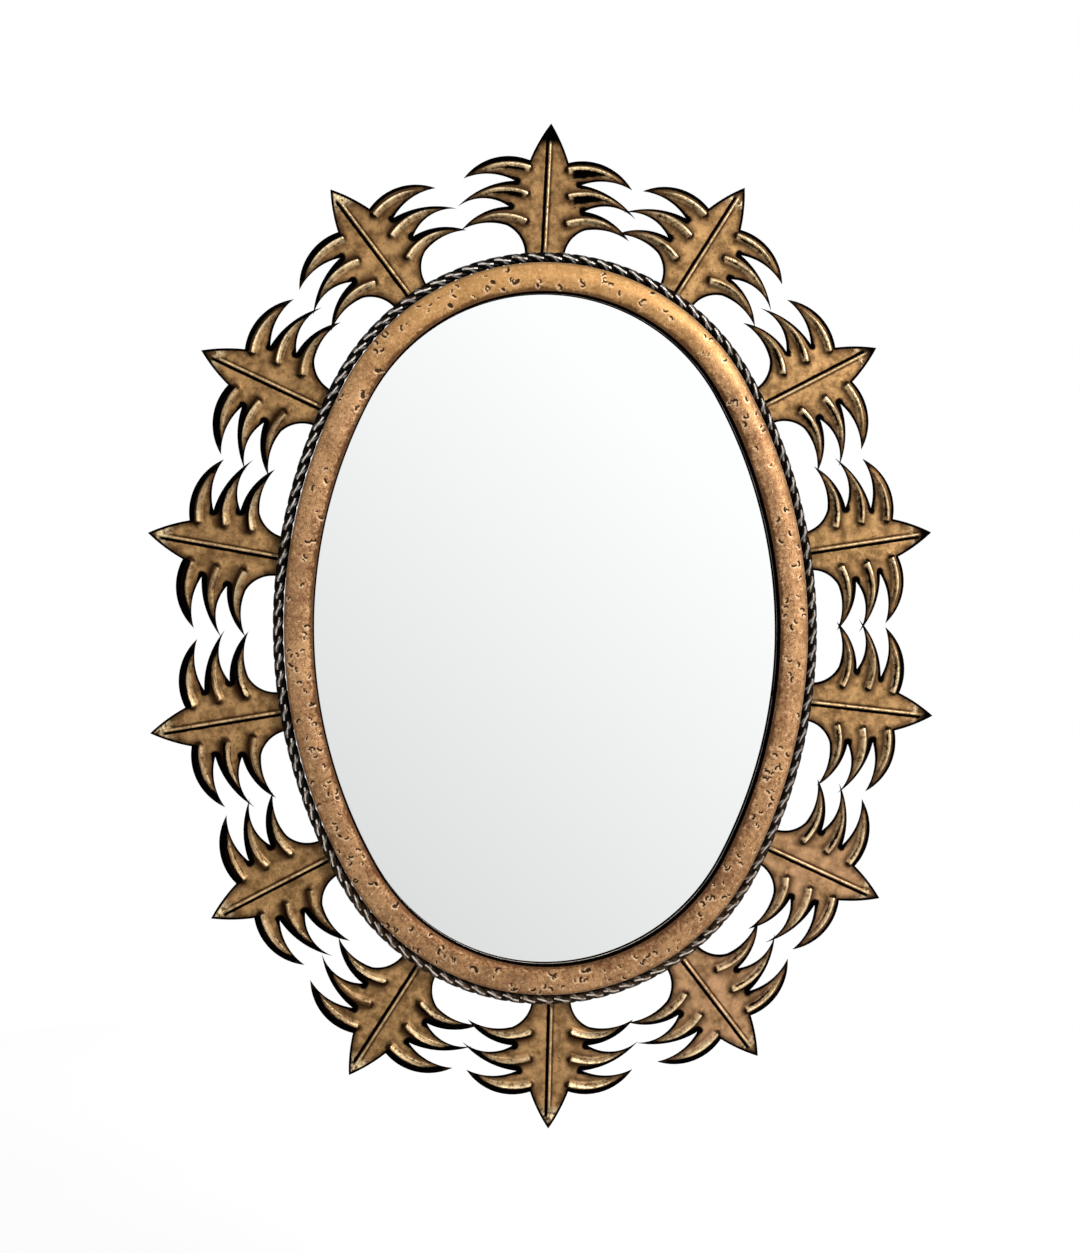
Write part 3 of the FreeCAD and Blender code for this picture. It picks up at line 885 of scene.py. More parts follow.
@dataclass(frozen=True)
class Bend:
    """A plane arc through three points."""

    centre: Vector
    radius: float
    start: float
    sweep: float

    @classmethod
    def through(cls, first: Sequence[float], via: Sequence[float], last: Sequence[float]) -> "Bend":
        """Arc from a first point, past a second, to a last.

        Args:
            first, via, last: points of the plane.

        Returns:
            The arc.
        """
        a, b, c = Vector(first), Vector(via), Vector(last)
        turn = 2 * (a - c).cross(b - c)
        p, q = (a - c).length_squared, (b - c).length_squared
        centre = c + Vector(((b.y - c.y) * p - (a.y - c.y) * q, (a.x - c.x) * q - (b.x - c.x) * p)) / turn
        start, end = (math.atan2(*(point - centre).yx) for point in (a, c))
        sweep = (end - start) % math.tau if turn > 0 else -((start - end) % math.tau)
        return cls(centre, (a - centre).length, start, sweep)

    def point(self, share: float) -> Vector:
        """Point a share of the way along."""
        angle = self.start + self.sweep * share
        return self.centre + self.radius * Vector((math.cos(angle), math.sin(angle)))

    def measure(self, point: Vector) -> tuple[float, float, float]:
        """Where a point lies from the arc.

        Args:
            point: a point of the plane.

        Returns:
            Distance to the arc, share along it, and distance outside its circle.
        """
        arm = point - self.centre
        turned = (math.atan2(arm.y, arm.x) - self.start) * math.copysign(1.0, self.sweep) % math.tau
        outside = arm.length - self.radius
        span = abs(self.sweep)
        if turned <= span:
            return abs(outside), turned / span, outside
        share = 1.0 if turned < (span + math.tau) / 2 else 0.0
        return (point - self.point(share)).length, share, outside


@dataclass(frozen=True)
class OvalArc:
    """One of the oval's four arcs; angles run from +X towards +Z."""

    centre: Vector
    radius: float
    start: float
    sweep: float

    def point(self, angle: float, outward: float, depth: float) -> Vector:
        """Point square to the sight edge at an angle.

        Args:
            angle: direction from the arc's centre.
            outward: distance from the sight edge.
            depth: distance in front of the wall.

        Returns:
            The point in space.
        """
        reach = self.radius + outward
        return self.centre + Vector((reach * math.cos(angle), -depth, reach * math.sin(angle)))

    def turn(self, point: Vector) -> float:
        """Angle of a point past the arc's start, from 0 to a full turn."""
        arm = point - self.centre
        return (math.atan2(arm.z, arm.x) - self.start) % math.tau


@dataclass
class Oval:
    """Sight edge of the glass, a four-centre oval, and sweeps round it."""

    band_width: float = 0.0264
    tightening: float = 0.031
    slack: float = 1e-5
    arcs: list[OvalArc] = field(init=False)

    def __post_init__(self) -> None:
        """Take the oval's size and place from the band's box."""
        low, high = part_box("face_band")
        half_width = (high.x - low.x) / 2 - self.band_width
        half_height = (high.z - low.z) / 2 - self.band_width
        middle = (high.z + low.z) / 2
        end = half_width - self.tightening
        rise = half_height - end
        side = (half_width ** 2 + rise ** 2 - end ** 2) / (2 * self.tightening)
        off = side - half_width
        meet = math.atan2(rise, off)
        self.arcs = [
            OvalArc(Vector((0, 0, middle + rise)), end, meet, math.pi - 2 * meet),
            OvalArc(Vector((off, 0, middle)), side, math.pi - meet, 2 * meet),
            OvalArc(Vector((0, 0, middle - rise)), end, math.pi + meet, math.pi - 2 * meet),
            OvalArc(Vector((-off, 0, middle)), side, -meet, 2 * meet),
        ]

    def lengths(self, outward: float) -> list[float]:
        """Length of each arc on an offset of the oval."""
        return [(arc.radius + outward) * arc.sweep for arc in self.arcs]

    def steps(self, count: int, outward: float, shift: float = 0.0) -> Iterator[tuple[OvalArc, float]]:
        """Equal steps along an offset of the oval, clockwise from its top.

        Args:
            count: how many steps go round.
            outward: the offset that they are measured on.
            shift: share of a step to start past the top.

        Returns:
            The arc and angle of each step.
        """
        lengths = self.lengths(outward)
        whole = sum(lengths)
        for index in range(count):
            along = (lengths[0] / 2 - (index + shift) * whole / count) % whole
            for arc, length in zip(self.arcs, lengths):
                if along <= length:
                    yield arc, arc.start + along / (arc.radius + outward)
                    break
                along -= length

    def clockwise(self, point: Vector, outward: float) -> tuple[OvalArc, float, float]:
        """Where a point lies round the oval.

        Args:
            point: a point near the oval.
            outward: the offset that lengths are measured on.

        Returns:
            Its arc, its angle there, and its share of the way round, clockwise from the top.
        """
        lengths = self.lengths(outward)
        passed = 0.0
        for arc, length in zip(self.arcs, lengths):
            turn = (arc.turn(point) + self.slack) % math.tau - self.slack
            if turn <= arc.sweep + self.slack:
                station = passed + turn * (arc.radius + outward)
                return arc, arc.start + turn, (lengths[0] / 2 - station) / sum(lengths) % 1.0
            passed += length
        raise ValueError(f"{point} is not near the oval")

    def swept(self, mesh: BMesh, section: Profile, spacing: float, girth: bool = False) -> None:
        """Spin a closed section about the four arcs and close the joints.

        Args:
            mesh: mesh that takes the sweep.
            section: closed run of (outward, depth) points.
            spacing: length of one step along the oval.
            girth: whether to mark the way round the section.
        """
        layer = mesh.verts.layers.float.new(Mark.GIRTH.value) if girth else None
        ways = running_lengths(section)
        for arc, length in zip(self.arcs, self.lengths(section[0][0])):
            ring = [mesh.verts.new(arc.point(arc.start, *corner)) for corner in section]
            for vert, way in zip(ring, ways):
                if layer:
                    vert[layer] = way / MM
            edges = [mesh.edges.new(pair) for pair in zip(ring, ring[1:] + ring[:1])]
            blocks = round(math.sqrt(length / spacing))
            share = arc.sweep / blocks
            about = {"cent": arc.centre, "axis": TOWARDS_VIEWER, "use_merge": False}
            for face in mesh.faces:
                face.tag = True
            bmesh.ops.spin(mesh, geom=ring + edges, angle=share, steps=round(length / spacing / blocks),
                           use_duplicate=False, **about)
            faces = [face for face in mesh.faces if not face.tag]
            block = [*faces, *{item for face in faces for item in (*face.verts, *face.edges)}]
            bmesh.ops.spin(mesh, geom=block, angle=arc.sweep - share, steps=blocks - 1,
                           use_duplicate=True, **about)
        bmesh.ops.remove_doubles(mesh, verts=mesh.verts, dist=SPIN_MERGE)
        bmesh.ops.recalc_face_normals(mesh, faces=mesh.faces)


def running_lengths(points: Profile) -> list[float]:
    """Length walked along a run of points.

    Args:
        points: the run.

    Returns:
        The length at each point.
    """
    walked = [0.0]
    for here, there in zip(points, points[1:]):
        walked.append(walked[-1] + math.dist(here, there))
    return walked


def arc_run(first: Sequence[float], via: Sequence[float], last: Sequence[float], count: int) -> Profile:
    """Points of equal steps along the arc through three points, both ends included."""
    bend = Bend.through(first, via, last)
    return [tuple(bend.point(index / count)) for index in range(count + 1)]


# Pieces


def wiggle(point: Vector, grain: float, shift: float = 0.0) -> float:
    """Smooth unevenness of a handmade surface, from about -1 to 1.

    Args:
        point: place on the surface.
        grain: size of its swells in metres.
        shift: moves the pattern, so that like pieces differ.

    Returns:
        The unevenness there.
    """
    return noise.noise(point / grain + Vector((shift, shift, shift)))


def laid_grid(mesh: BMesh, columns: int, rows: int, place: Callable[[float, float], Vector]) -> None:
    """Lay a grid and send each of its points to its place.

    Args:
        mesh: mesh that takes the grid.
        columns, rows: its cuts each way.
        place: turns the grid's two shares into a point.
    """
    grid = bmesh.ops.create_grid(mesh, x_segments=columns, y_segments=rows, size=0.5)
    for vert in grid["verts"]:
        vert.co = place(vert.co.x + 0.5, vert.co.y + 0.5)


def tube(mesh: BMesh, columns: int, rows: int, place: Callable[[float, float], Vector]) -> None:
    """Lay a grid that closes on itself across, and along too or is capped at its ends.

    Args:
        mesh: mesh that takes the tube.
        columns, rows: its cuts along and round.
        place: turns the grid's two shares into a point.
    """
    laid_grid(mesh, columns, rows, place)
    bmesh.ops.remove_doubles(mesh, verts=mesh.verts, dist=MERGE)
    bmesh.ops.holes_fill(mesh, edges=[edge for edge in mesh.edges if edge.is_boundary], sides=0)
    bmesh.ops.recalc_face_normals(mesh, faces=mesh.faces)


def rounded_slab(thick: float, wide: float, ease: float) -> Profile:
    """Closed section of a flat bar with softened edges, about its middle.

    Args:
        thick, wide: its two sizes.
        ease: radius of its edges.

    Returns:
        Its points, through the thickness first.
    """
    points = []
    for corner in range(4):
        x = math.copysign(thick / 2 - ease, 1 if corner in (0, 3) else -1)
        y = math.copysign(wide / 2 - ease, 1 if corner < 2 else -1)
        turns = [math.pi / 2 * (corner + cut / EASE_CUTS) for cut in range(EASE_CUTS + 1)]
        points += [(x + ease * math.cos(turn), y + ease * math.sin(turn)) for turn in turns]
        if corner in (1, 3):
            side = math.copysign(thick / 2, -1 if corner == 1 else 1)
            way = 1 if corner == 1 else -1
            shares = [cut / SIDE_CUTS for cut in range(1, SIDE_CUTS)]
            points += [(side, way * (wide / 2 - ease) * (1 - 2 * share)) for share in shares]
    return points


def linked(name: str, data: bpy.types.ID) -> bpy.types.Object:
    """Put an object in the scene.

    Args:
        name: its name.
        data: its mesh, lamp or camera.

    Returns:
        The new object.
    """
    made = bpy.data.objects.new(name, data)
    bpy.context.scene.collection.objects.link(made)
    return made


def finished(name: str, mesh: BMesh, finish: Finish, slot: Slot, nodes: Sequence[str],
             body: Body = Body.FRAME, crease: float = CREASE) -> bpy.types.Object:
    """Turn a mesh into a dressed piece that rides on a body and stands for solids.

    Args:
        name: the piece's name.
        mesh: its shape, which is freed.
        finish: its material.
        slot: the piece's material slot; not used.
        nodes: the solids that it stands for.
        body: the body that carries it.
        crease: edges sharper than this many degrees stay sharp.

    Returns:
        The new object.
    """
    data = bpy.data.meshes.new(name)
    mesh.to_mesh(data)
    mesh.free()
    data.materials.append(finish.material())
    data.shade_smooth()
    data.set_sharp_from_angle(angle=math.radians(crease))
    made = linked(name, data)
    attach(made, body.value)
    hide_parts(*nodes)
    LOG.info("%s: %d faces for %s", name, len(data.polygons), ", ".join(nodes))
    return made


def kept(node: str, finish: Finish, slot: Slot) -> None:
    """Dress a solid that keeps its own shape.

    Args:
        node: the solid's name.
        finish: its material.
        slot: the piece's material slot; not used.
    """
    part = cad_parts[node]
    part.data.materials.clear()
    part.data.materials.append(finish.material())
    LOG.info("%s: kept", node)


@dataclass
class FaceBand:
    """Convex sheet band with a rounded inner edge, a lip down to the glass and punch marks."""

    oval: Oval
    finish: Finish = PunchedBand("band_bronze")
    sheet: float = 0.0012
    lip_round: float = 0.002
    lip_depth: float = 0.0105
    hoop_bar: float = 0.003
    spacing: float = 0.0013
    wall_cuts: int = 4
    face_cuts: int = 22
    round_cuts: int = 4
    hollow_cuts: int = 6
    punches: int = 240
    punch_size: float = 0.00145
    punch_depth: float = 0.0006
    punch_ring: float = 0.00008
    punch_reach: float = 2.0
    punch_stretch: float = 1.6
    punch_sizes: Span = (0.6, 1.3)
    clear_cuts: tuple[int, int] = (3, 2)
    most_below: float = 0.95
    fewer_above: float = 0.6
    crescents: float = 0.94
    bite_size: float = 1.65
    bite_shift: float = 0.7
    find_reach: float = 2.6
    fine_reach: float = 2.2
    fine_cuts: int = 2
    ring_gain: float = 4.0
    # Where round each punch mark its painted highlight falls.
    lit_edge: Span = (-0.1, 0.5)
    lit: Vector = field(default_factory=lambda: Vector((-0.5, 0.0, -0.85)))
    hidden: float = 0.0003
    seed: int = 11

    def section(self) -> Profile:
        """Closed section from the lip's foot, over the crown and back through the hollow.

        Returns:
            Its (outward, depth) points.
        """
        low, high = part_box("face_band")
        glass, top = -high.y, -low.y - self.hidden
        inner = glass + self.lip_depth
        outer = self.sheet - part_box("back_hoop")[0].y
        width, middle = self.oval.band_width, self.oval.band_width / 2
        ease = self.lip_round
        corner = ease * (1 - math.sqrt(0.5))
        rounding = arc_run((0, inner - ease), (corner, inner - corner), (ease, inner), self.round_cuts)
        face = arc_run((ease, inner), (middle, top), (width, outer), self.face_cuts)
        hollow = arc_run((width - self.hoop_bar, outer - self.sheet), (middle, top - self.sheet),
                         (self.sheet, inner - self.sheet), self.hollow_cuts)
        wall = [(0, between(glass, inner - ease, cut / self.wall_cuts)) for cut in range(self.wall_cuts)]
        return [*wall, *rounding, *face[1:], (width, outer - self.sheet), *hollow, (self.sheet, glass)]

    def places(self) -> list[tuple[Vector, Vector, Vector, float, bool]]:
        """Scatter the punch marks, more thickly towards the bottom.

        Returns:
            Each mark's middle, its two axes along the face, its size and whether it is a crescent.
        """
        chance = random.Random(self.seed)
        face = self.section()[self.wall_cuts + self.round_cuts:]
        first, last = self.clear_cuts[0], self.face_cuts - self.clear_cuts[1]
        low, high = CAD_BOX
        marks = []
        lengths = self.oval.lengths(self.oval.band_width / 2)
        while len(marks) < self.punches:
            arc = chance.choices(self.oval.arcs, lengths)[0]
            angle = arc.start + arc.sweep * chance.random()
            outward, depth = face[chance.randrange(first, last)]
            middle = arc.point(angle, outward, depth)
            if chance.random() < self.most_below - self.fewer_above * (middle.z - low.z) / (high.z - low.z):
                turn = chance.uniform(0, math.tau)
                along = Vector((math.cos(turn), 0, math.sin(turn)))
                across = Vector((-math.sin(turn), 0, math.cos(turn)))
                size = self.punch_size * chance.uniform(*self.punch_sizes)
                marks.append((middle, along, across, size, chance.random() < self.crescents))
        return marks

    def punch(self, mesh: BMesh) -> None:
        """Press the punch marks into the face, note how near each point is to one, and mark the side of
        each rim towards the light for a painted highlight.

        Args:
            mesh: the swept band.
        """
        marks = self.places()
        tree = KDTree(len(marks))
        for index, mark in enumerate(marks):
            tree.insert(mark[0], index)
        tree.balance()
        fine_reach = self.punch_size * self.fine_reach
        near = {vert for vert in mesh.verts if tree.find(vert.co)[2] < fine_reach}
        fine = [edge for edge in mesh.edges if near.issuperset(edge.verts)]
        bmesh.ops.subdivide_edges(mesh, edges=fine, cuts=self.fine_cuts, use_grid_fill=True)
        layer, lip = (mesh.verts.layers.float.new(mark.value) for mark in (Mark.PUNCH, Mark.LIP))
        mesh.normal_update()
        for vert in mesh.verts:
            place = vert.co.copy()
            for _, index, _ in tree.find_range(place, self.punch_size * self.find_reach):
                middle, along, across, size, crescent = marks[index]
                offset = place - middle
                spot = Vector((offset.dot(along) / self.punch_stretch, offset.dot(across))) / size
                reach = spot.length
                if crescent:
                    reach = max(reach, self.bite_size - (spot - Vector((0.0, self.bite_shift))).length)
                left = self.punch_reach - reach
                vert[layer] = max(vert[layer], left)
                ring = max(0.0, left * (reach - 1) * self.ring_gain) if left > 0 else 0.0
                # Painted highlight only on the side of the rim towards the light.
                vert[lip] = max(vert[lip], ring * soft_step(*self.lit_edge, offset.dot(self.lit) / size))
                if reach < 1:
                    vert.co -= vert.normal * self.punch_depth * (1 - reach * reach)
                vert.co += vert.normal * self.punch_ring * ring

    def build(self) -> None:
        """Spin the section round the oval, punch it and dress it."""
        mesh = bmesh.new()
        self.oval.swept(mesh, self.section(), self.spacing, girth=True)
        self.punch(mesh)
        finished("punched_band", mesh, self.finish, Slot.BAND_GOLD, ["face_band"])


@dataclass
class BackHoop:
    """Flat iron bar bent on edge, with softened corners and hammered faces."""

    oval: Oval
    finish: Finish = PaintedIron("hoop_black")
    bar: float = 0.003
    ease: float = 0.0005
    spacing: float = 0.004
    flat_cuts: int = 5
    dent: float = 0.00012
    dent_size: float = 0.02

    def build(self) -> None:
        """Spin the bar round the oval and make its faces a little uneven."""
        low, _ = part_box("back_hoop")
        depth, outer = -low.y, self.oval.band_width
        inner, e = outer - self.bar, self.ease
        flat = [between(e, depth - e, cut / self.flat_cuts) for cut in range(self.flat_cuts + 1)]
        section = [(inner + e, 0), (outer - e, 0), *((outer, d) for d in flat), (outer - e, depth),
                   (inner + e, depth), *((inner, d) for d in reversed(flat))]
        mesh = bmesh.new()
        self.oval.swept(mesh, section, self.spacing)
        mesh.normal_update()
        for vert in mesh.verts:
            if e < -vert.co.y < depth - e:
                vert.co += vert.normal * self.dent * (wiggle(vert.co, self.dent_size) - 1)
        finished("iron_hoop", mesh, self.finish, Slot.HOOP_IRON, ["back_hoop"], crease=BAR_CREASE)


@dataclass
class TwistedRope:
    """Two half-round iron wires laid up as a rope along the outside of the band."""

    oval: Oval
    finish: Finish = RopeIron("rope_black_iron")
    gap: float = 0.0002
    radius: float = 0.00474
    wire_rise: float = 0.0029
    wire_half: float = 0.0039
    parting: float = 0.00005
    streak_lay: float = 0.0015
    streak_out: float = 0.0005
    turns: int = 60
    sides: int = 20
    spacing: float = 0.0015
    swell: float = 0.02
    swell_size: float = 0.009

    def strand(self, name: str, node: str, phase: float) -> None:
        """Spin a wire round the oval, then wind it about the rope's centre line.

        Args:
            name: the piece's name.
            node: the solid that it stands for.
            phase: where its lay starts.
        """
        outward = self.oval.band_width + self.gap + self.radius
        depth = -(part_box(node)[0].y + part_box(node)[1].y) / 2
        lay = self.radius - self.wire_rise * (1 + self.swell)
        turns = [math.tau * side / self.sides for side in range(self.sides)]
        section = [(outward + self.wire_rise * math.cos(turn), depth + self.wire_rise * math.sin(turn))
                   for turn in turns]
        mesh = bmesh.new()
        self.oval.swept(mesh, section, self.spacing)
        twist, streak = (mesh.verts.layers.float.new(mark.value) for mark in (Mark.TWIST, Mark.STREAK))
        for vert in mesh.verts:
            arc, angle, share = self.oval.clockwise(vert.co, outward)
            out = Vector((math.cos(angle), 0, math.sin(angle)))
            wound = phase + math.tau * self.turns * share
            arm = out * math.cos(wound) + TOWARDS_VIEWER * math.sin(wound)
            beside = TOWARDS_VIEWER * math.cos(wound) - out * math.sin(wound)
            centre = arc.point(angle, outward, depth)
            corner = vert.co - centre
            rise, width = corner.dot(out) / self.wire_rise, corner.dot(TOWARDS_VIEWER) / self.wire_rise
            thick = 1 + self.swell * wiggle(vert.co, self.swell_size, phase)
            off = max(self.parting, lay + self.wire_rise * thick * rise)
            vert.co = centre + arm * off + beside * self.wire_half * thick * width
            # Painted highlight streak: laid only on the half of each turn that faces the viewer.
            aside = (vert.co - centre).dot(out) - self.streak_out - self.streak_lay * math.cos(wound)
            vert[twist] = rise
            vert[streak] = abs(aside) / MM if math.sin(wound) > 0 else self.radius / MM
        finished(name, mesh, self.finish, Slot.ROPE_IRON, [node])

    def build(self) -> None:
        """Lay up both wires, half a turn apart."""
        self.strand("rope_wire_a", "rope_strand_a", 0.0)
        self.strand("rope_wire_b", "rope_strand_b", math.pi)


@dataclass(frozen=True)
class Lobe:
    """One claw of a leaf, in shares of its length and half span: edges, tip and the crest along it."""

    outer_bend: tuple[float, float]
    tip: tuple[float, float]
    inner_bend: tuple[float, float]
    notch: tuple[float, float]
    crest: tuple[tuple[float, float], tuple[float, float], tuple[float, float]]


@dataclass
class PalmLeaf:
    """Cut and embossed sheet leaf: its flat pattern, its relief and the marks that its finish reads."""

    half_span: float
    length: float = 0.1235
    stem_half: float = 0.0175
    neck_foot: float = 0.008
    plate_half: float = 0.012
    bead_rise: float = 0.0032
    roof_rise: float = 0.0018
    roof_reach: float = 0.010
    bead_root: float = 0.0030
    bead_tip: float = 0.0006
    bead_powers: Span = (0.7, 1.4)
    bead_fade: Span = (0.45, 1.0)
    bead_rim: float = 0.0016
    roof_power: float = 2.4
    roof_fade: Span = (0.55, 1.02)
    inner_spread: float = 2.0
    rib_rise: float = 0.0025
    rib_half: float = 0.0016
    rib_power: float = 0.6
    rib_start: float = 0.010
    rib_end_gap: float = 0.009
    rib_taper: float = 0.005
    groove_depth: float = 0.0005
    groove_half: float = 0.0036
    groove_start: Span = (0.8, 1.3)
    groove_middle: float = 1.4
    shoulder: tuple[float, float] = (0.729, 0.218)
    lance_bend: tuple[float, float] = (0.858, 0.132)
    neck_bend: tuple[float, float] = (0.178, 0.285)
    lobes: tuple[Lobe, ...] = (
        Lobe((0.749, 0.424), (0.567, 0.949), (0.611, 0.572), (0.577, 0.375),
             ((0.680, 0.225), (0.695, 0.440), (0.600, 0.845))),
        Lobe((0.525, 0.666), (0.364, 1.000), (0.436, 0.633), (0.391, 0.428),
             ((0.492, 0.240), (0.512, 0.516), (0.408, 0.878))),
        Lobe((0.334, 0.713), (0.202, 0.942), (0.266, 0.646), (0.256, 0.438),
             ((0.300, 0.235), (0.330, 0.477), (0.243, 0.839))),
    )
    lobe_cuts: int = 26
    hem_rows: int = 12
    claw_rows: int = 30
    plate_rows: int = 12
    lance_rows: int = 18
    neck_rows: int = 16
    stem_rows: int = 6
    rib_crowding: float = 1.6
    marks_reach: float = 0.012
    facing_share: float = 0.55

    def full(self, point: tuple[float, float]) -> Vector:
        """A point of the pattern at full size."""
        return Vector((point[0] * self.length, point[1] * self.half_span))

    def bends(self) -> tuple[list[tuple[Bend, Bend, Bend]], Bend, Bend]:
        """Arcs of the pattern.

        Returns:
            Outer edge, inner edge and crest of each lobe; edge of the lance; edge of the neck.
        """
        arcs = []
        root = self.shoulder
        for lobe in self.lobes:
            outer = Bend.through(*map(self.full, (root, lobe.outer_bend, lobe.tip)))
            inner = Bend.through(*map(self.full, (lobe.notch, lobe.inner_bend, lobe.tip)))
            arcs.append((outer, inner, Bend.through(*map(self.full, lobe.crest))))
            root = lobe.notch
        lance = Bend.through(self.full(self.shoulder), self.full(self.lance_bend), (self.length, 0.0))
        foot = (self.neck_foot, self.stem_half)
        neck = Bend.through(self.full(root), self.full(self.neck_bend), foot)
        return arcs, lance, neck

    def patch(self, mesh: BMesh, columns: int, rows: int, place: Callable[[float, float], Vector]) -> None:
        """Lay a grid over one patch of the pattern.

        Args:
            mesh: mesh that takes the patch.
            columns, rows: its cuts each way.
            place: turns the grid's two shares into a point of the pattern.
        """
        laid_grid(mesh, columns, rows, lambda s, t: place(s, t).to_3d())

    def claw_edge(self, bend: Bend, root: Vector, share: float) -> Vector:
        """Point on one side of a claw's patch: across the hem to its root, then along its arc.

        Args:
            bend: edge of the claw.
            root: where the edge starts.
            share: way along the side.

        Returns:
            The point.
        """
        hem = self.hem_rows / (self.hem_rows + self.claw_rows)
        if share <= hem:
            return Vector((root.x, between(self.plate_half, root.y, share / hem)))
        return bend.point((share - hem) / (1 - hem))

    def flat_half(self, mesh: BMesh) -> None:
        """Lay patches over the plate, claws, lance and neck on one side of the midrib.

        Args:
            mesh: mesh that takes the patches.
        """
        arcs, lance, neck = self.bends()
        roots = [self.full(self.shoulder), *(self.full(lobe.notch) for lobe in self.lobes)]
        for (outer, inner, _), top, bottom in zip(arcs, roots, roots[1:]):
            self.patch(mesh, self.lobe_cuts, self.hem_rows + self.claw_rows, lambda s, t: self.claw_edge(
                outer, top, t).lerp(self.claw_edge(inner, bottom, t), s))
            self.patch(mesh, self.lobe_cuts, self.plate_rows, lambda s, t: Vector(
                (between(top.x, bottom.x, s), self.plate_half * t ** self.rib_crowding)))
        self.fan(mesh, roots[0].y, self.lance_rows, lance.point)
        self.fan(mesh, roots[-1].y, self.neck_rows, neck.point)
        self.fan(mesh, roots[-1].y, self.stem_rows,
                 lambda share: Vector((between(self.neck_foot, 0.0, share), self.stem_half)))

    def fan(self, mesh: BMesh, base: float, rows: int, rim: Callable[[float], Vector]) -> None:
        """Patches between the midrib and a rim, cut across as the plate and the hem are.

        Args:
            mesh: mesh that takes the patches.
            base: half width of the pattern where the rim starts.
            rows: cuts along the rim.
            rim: point of the rim by share.
        """
        strips = ((self.plate_rows, 0.0, self.plate_half, self.rib_crowding),
                  (self.hem_rows, self.plate_half, base, 1.0))
        for columns, low, high, crowding in strips:
            def spread(s: float, t: float) -> Vector:
                """Point of the strip at a share across and a share along."""
                point = rim(t)
                return Vector((point.x, point.y * between(low, high, s ** crowding) / base))
            self.patch(mesh, columns, rows, spread)

    def outline_distance(self, point: Vector, edges: Sequence[Bend]) -> float:
        """Distance from a point of the pattern to its outline."""
        stem = self.stem_half - point.y if point.x < self.neck_foot else math.inf
        return min(stem, *(bend.measure(point)[0] for bend in edges))

    def claw_lift(self, crest: float, share: float, outside: float, rim: float) -> float:
        """Rise of a claw: a round bead on a roof that is steep outside and gentle inside.

        Args:
            crest: distance to the crest.
            share: share of the way along it.
            outside: distance outside its circle.
            rim: distance to the outline.

        Returns:
            The rise there.
        """
        half = between(self.bead_root, self.bead_tip, share)
        steep, gentle = self.bead_powers
        reach, power = (half, steep) if outside > 0 else (half * self.inner_spread, gentle)
        bead = self.bead_rise * max(0.0, 1 - (crest / reach) ** 2) ** power
        bead *= 1 - soft_step(*self.bead_fade, share)
        slope = (rim / (crest + rim + MERGE)) ** (self.roof_power if outside > 0 else 1.0)
        roof = self.roof_rise * slope * max(0.0, 1 - crest / self.roof_reach)
        roof *= 1 - soft_step(*self.roof_fade, share)
        return bead * soft_step(0.0, self.bead_rim, rim) + roof

    def rib_lift(self, point: Vector) -> float:
        """Rise of the midrib, with a shallow groove on both its sides.

        Args:
            point: a point of the pattern.

        Returns:
            The rise there.
        """
        end = self.length - self.rib_end_gap
        along = soft_step(self.rib_start, self.rib_start + self.rib_taper, point.x)
        along *= 1 - soft_step(end - self.rib_taper, end, point.x)
        off = abs(point.y)
        wire = self.rib_rise * max(0.0, 1 - (off / self.rib_half) ** 2) ** self.rib_power
        first, full = self.groove_start
        down = soft_step(self.rib_half * first, self.rib_half * full, off)
        up = soft_step(self.rib_half * self.groove_middle, self.groove_half, off)
        return along * (wire - self.groove_depth * (down - up))

    def relief(self, mesh: BMesh) -> None:
        """Work out the rise of every point of the pattern, and the marks on it.

        Args:
            mesh: the flat half pattern.
        """
        arcs, lance, neck = self.bends()
        edges = [lance, neck, *(bend for outer, inner, _ in arcs for bend in (outer, inner))]
        names = (Mark.RIM, Mark.CREST, Mark.OUT, Mark.END, Mark.SHARE, Mark.LOBE, Mark.RISE, Mark.LANCE)
        layers = {mark: mesh.verts.layers.float.new(mark.value) for mark in names}
        start = self.full(self.shoulder).x
        reach = self.marks_reach
        for vert in mesh.verts:
            point = vert.co.xy
            rim = self.outline_distance(point, edges)
            near = [bend.measure(point) for _, _, bend in arcs]
            crest, share, outside = min(near)
            past = math.sqrt(max(0.0, crest * crest - outside * outside)) if share in (0.0, 1.0) else 0.0
            vert[layers[Mark.RISE]] = self.claw_lift(crest, share, outside, rim) + self.rib_lift(point)
            vert[layers[Mark.RIM]] = min(rim, reach) / MM
            vert[layers[Mark.CREST]] = min(crest, reach) / MM
            vert[layers[Mark.OUT]] = min(reach, max(-reach, outside)) / MM
            vert[layers[Mark.END]] = min(past, reach) / MM
            vert[layers[Mark.SHARE]] = share
            vert[layers[Mark.LOBE]] = near.index(min(near))
            vert[layers[Mark.LANCE]] = (point.x - start) / (self.length - start)

    def facings(self) -> list[Vector]:
        """Direction, in the pattern, that the outer flank of each claw faces."""
        arcs, _, _ = self.bends()
        return [(crest.point(self.facing_share) - crest.centre).normalized() for _, _, crest in arcs]

    def pattern(self) -> BMesh:
        """Whole flat pattern with its marks, u along X and v along Y.

        Returns:
            The pattern's mesh.
        """
        mesh = bmesh.new()
        self.flat_half(mesh)
        bmesh.ops.remove_doubles(mesh, verts=mesh.verts, dist=PATTERN_MERGE)
        self.relief(mesh)
        whole = mesh.verts[:] + mesh.edges[:] + mesh.faces[:]
        bmesh.ops.mirror(mesh, geom=whole, axis="Y", merge_dist=PATTERN_MERGE)
        bmesh.ops.recalc_face_normals(mesh, faces=mesh.faces)
        return mesh


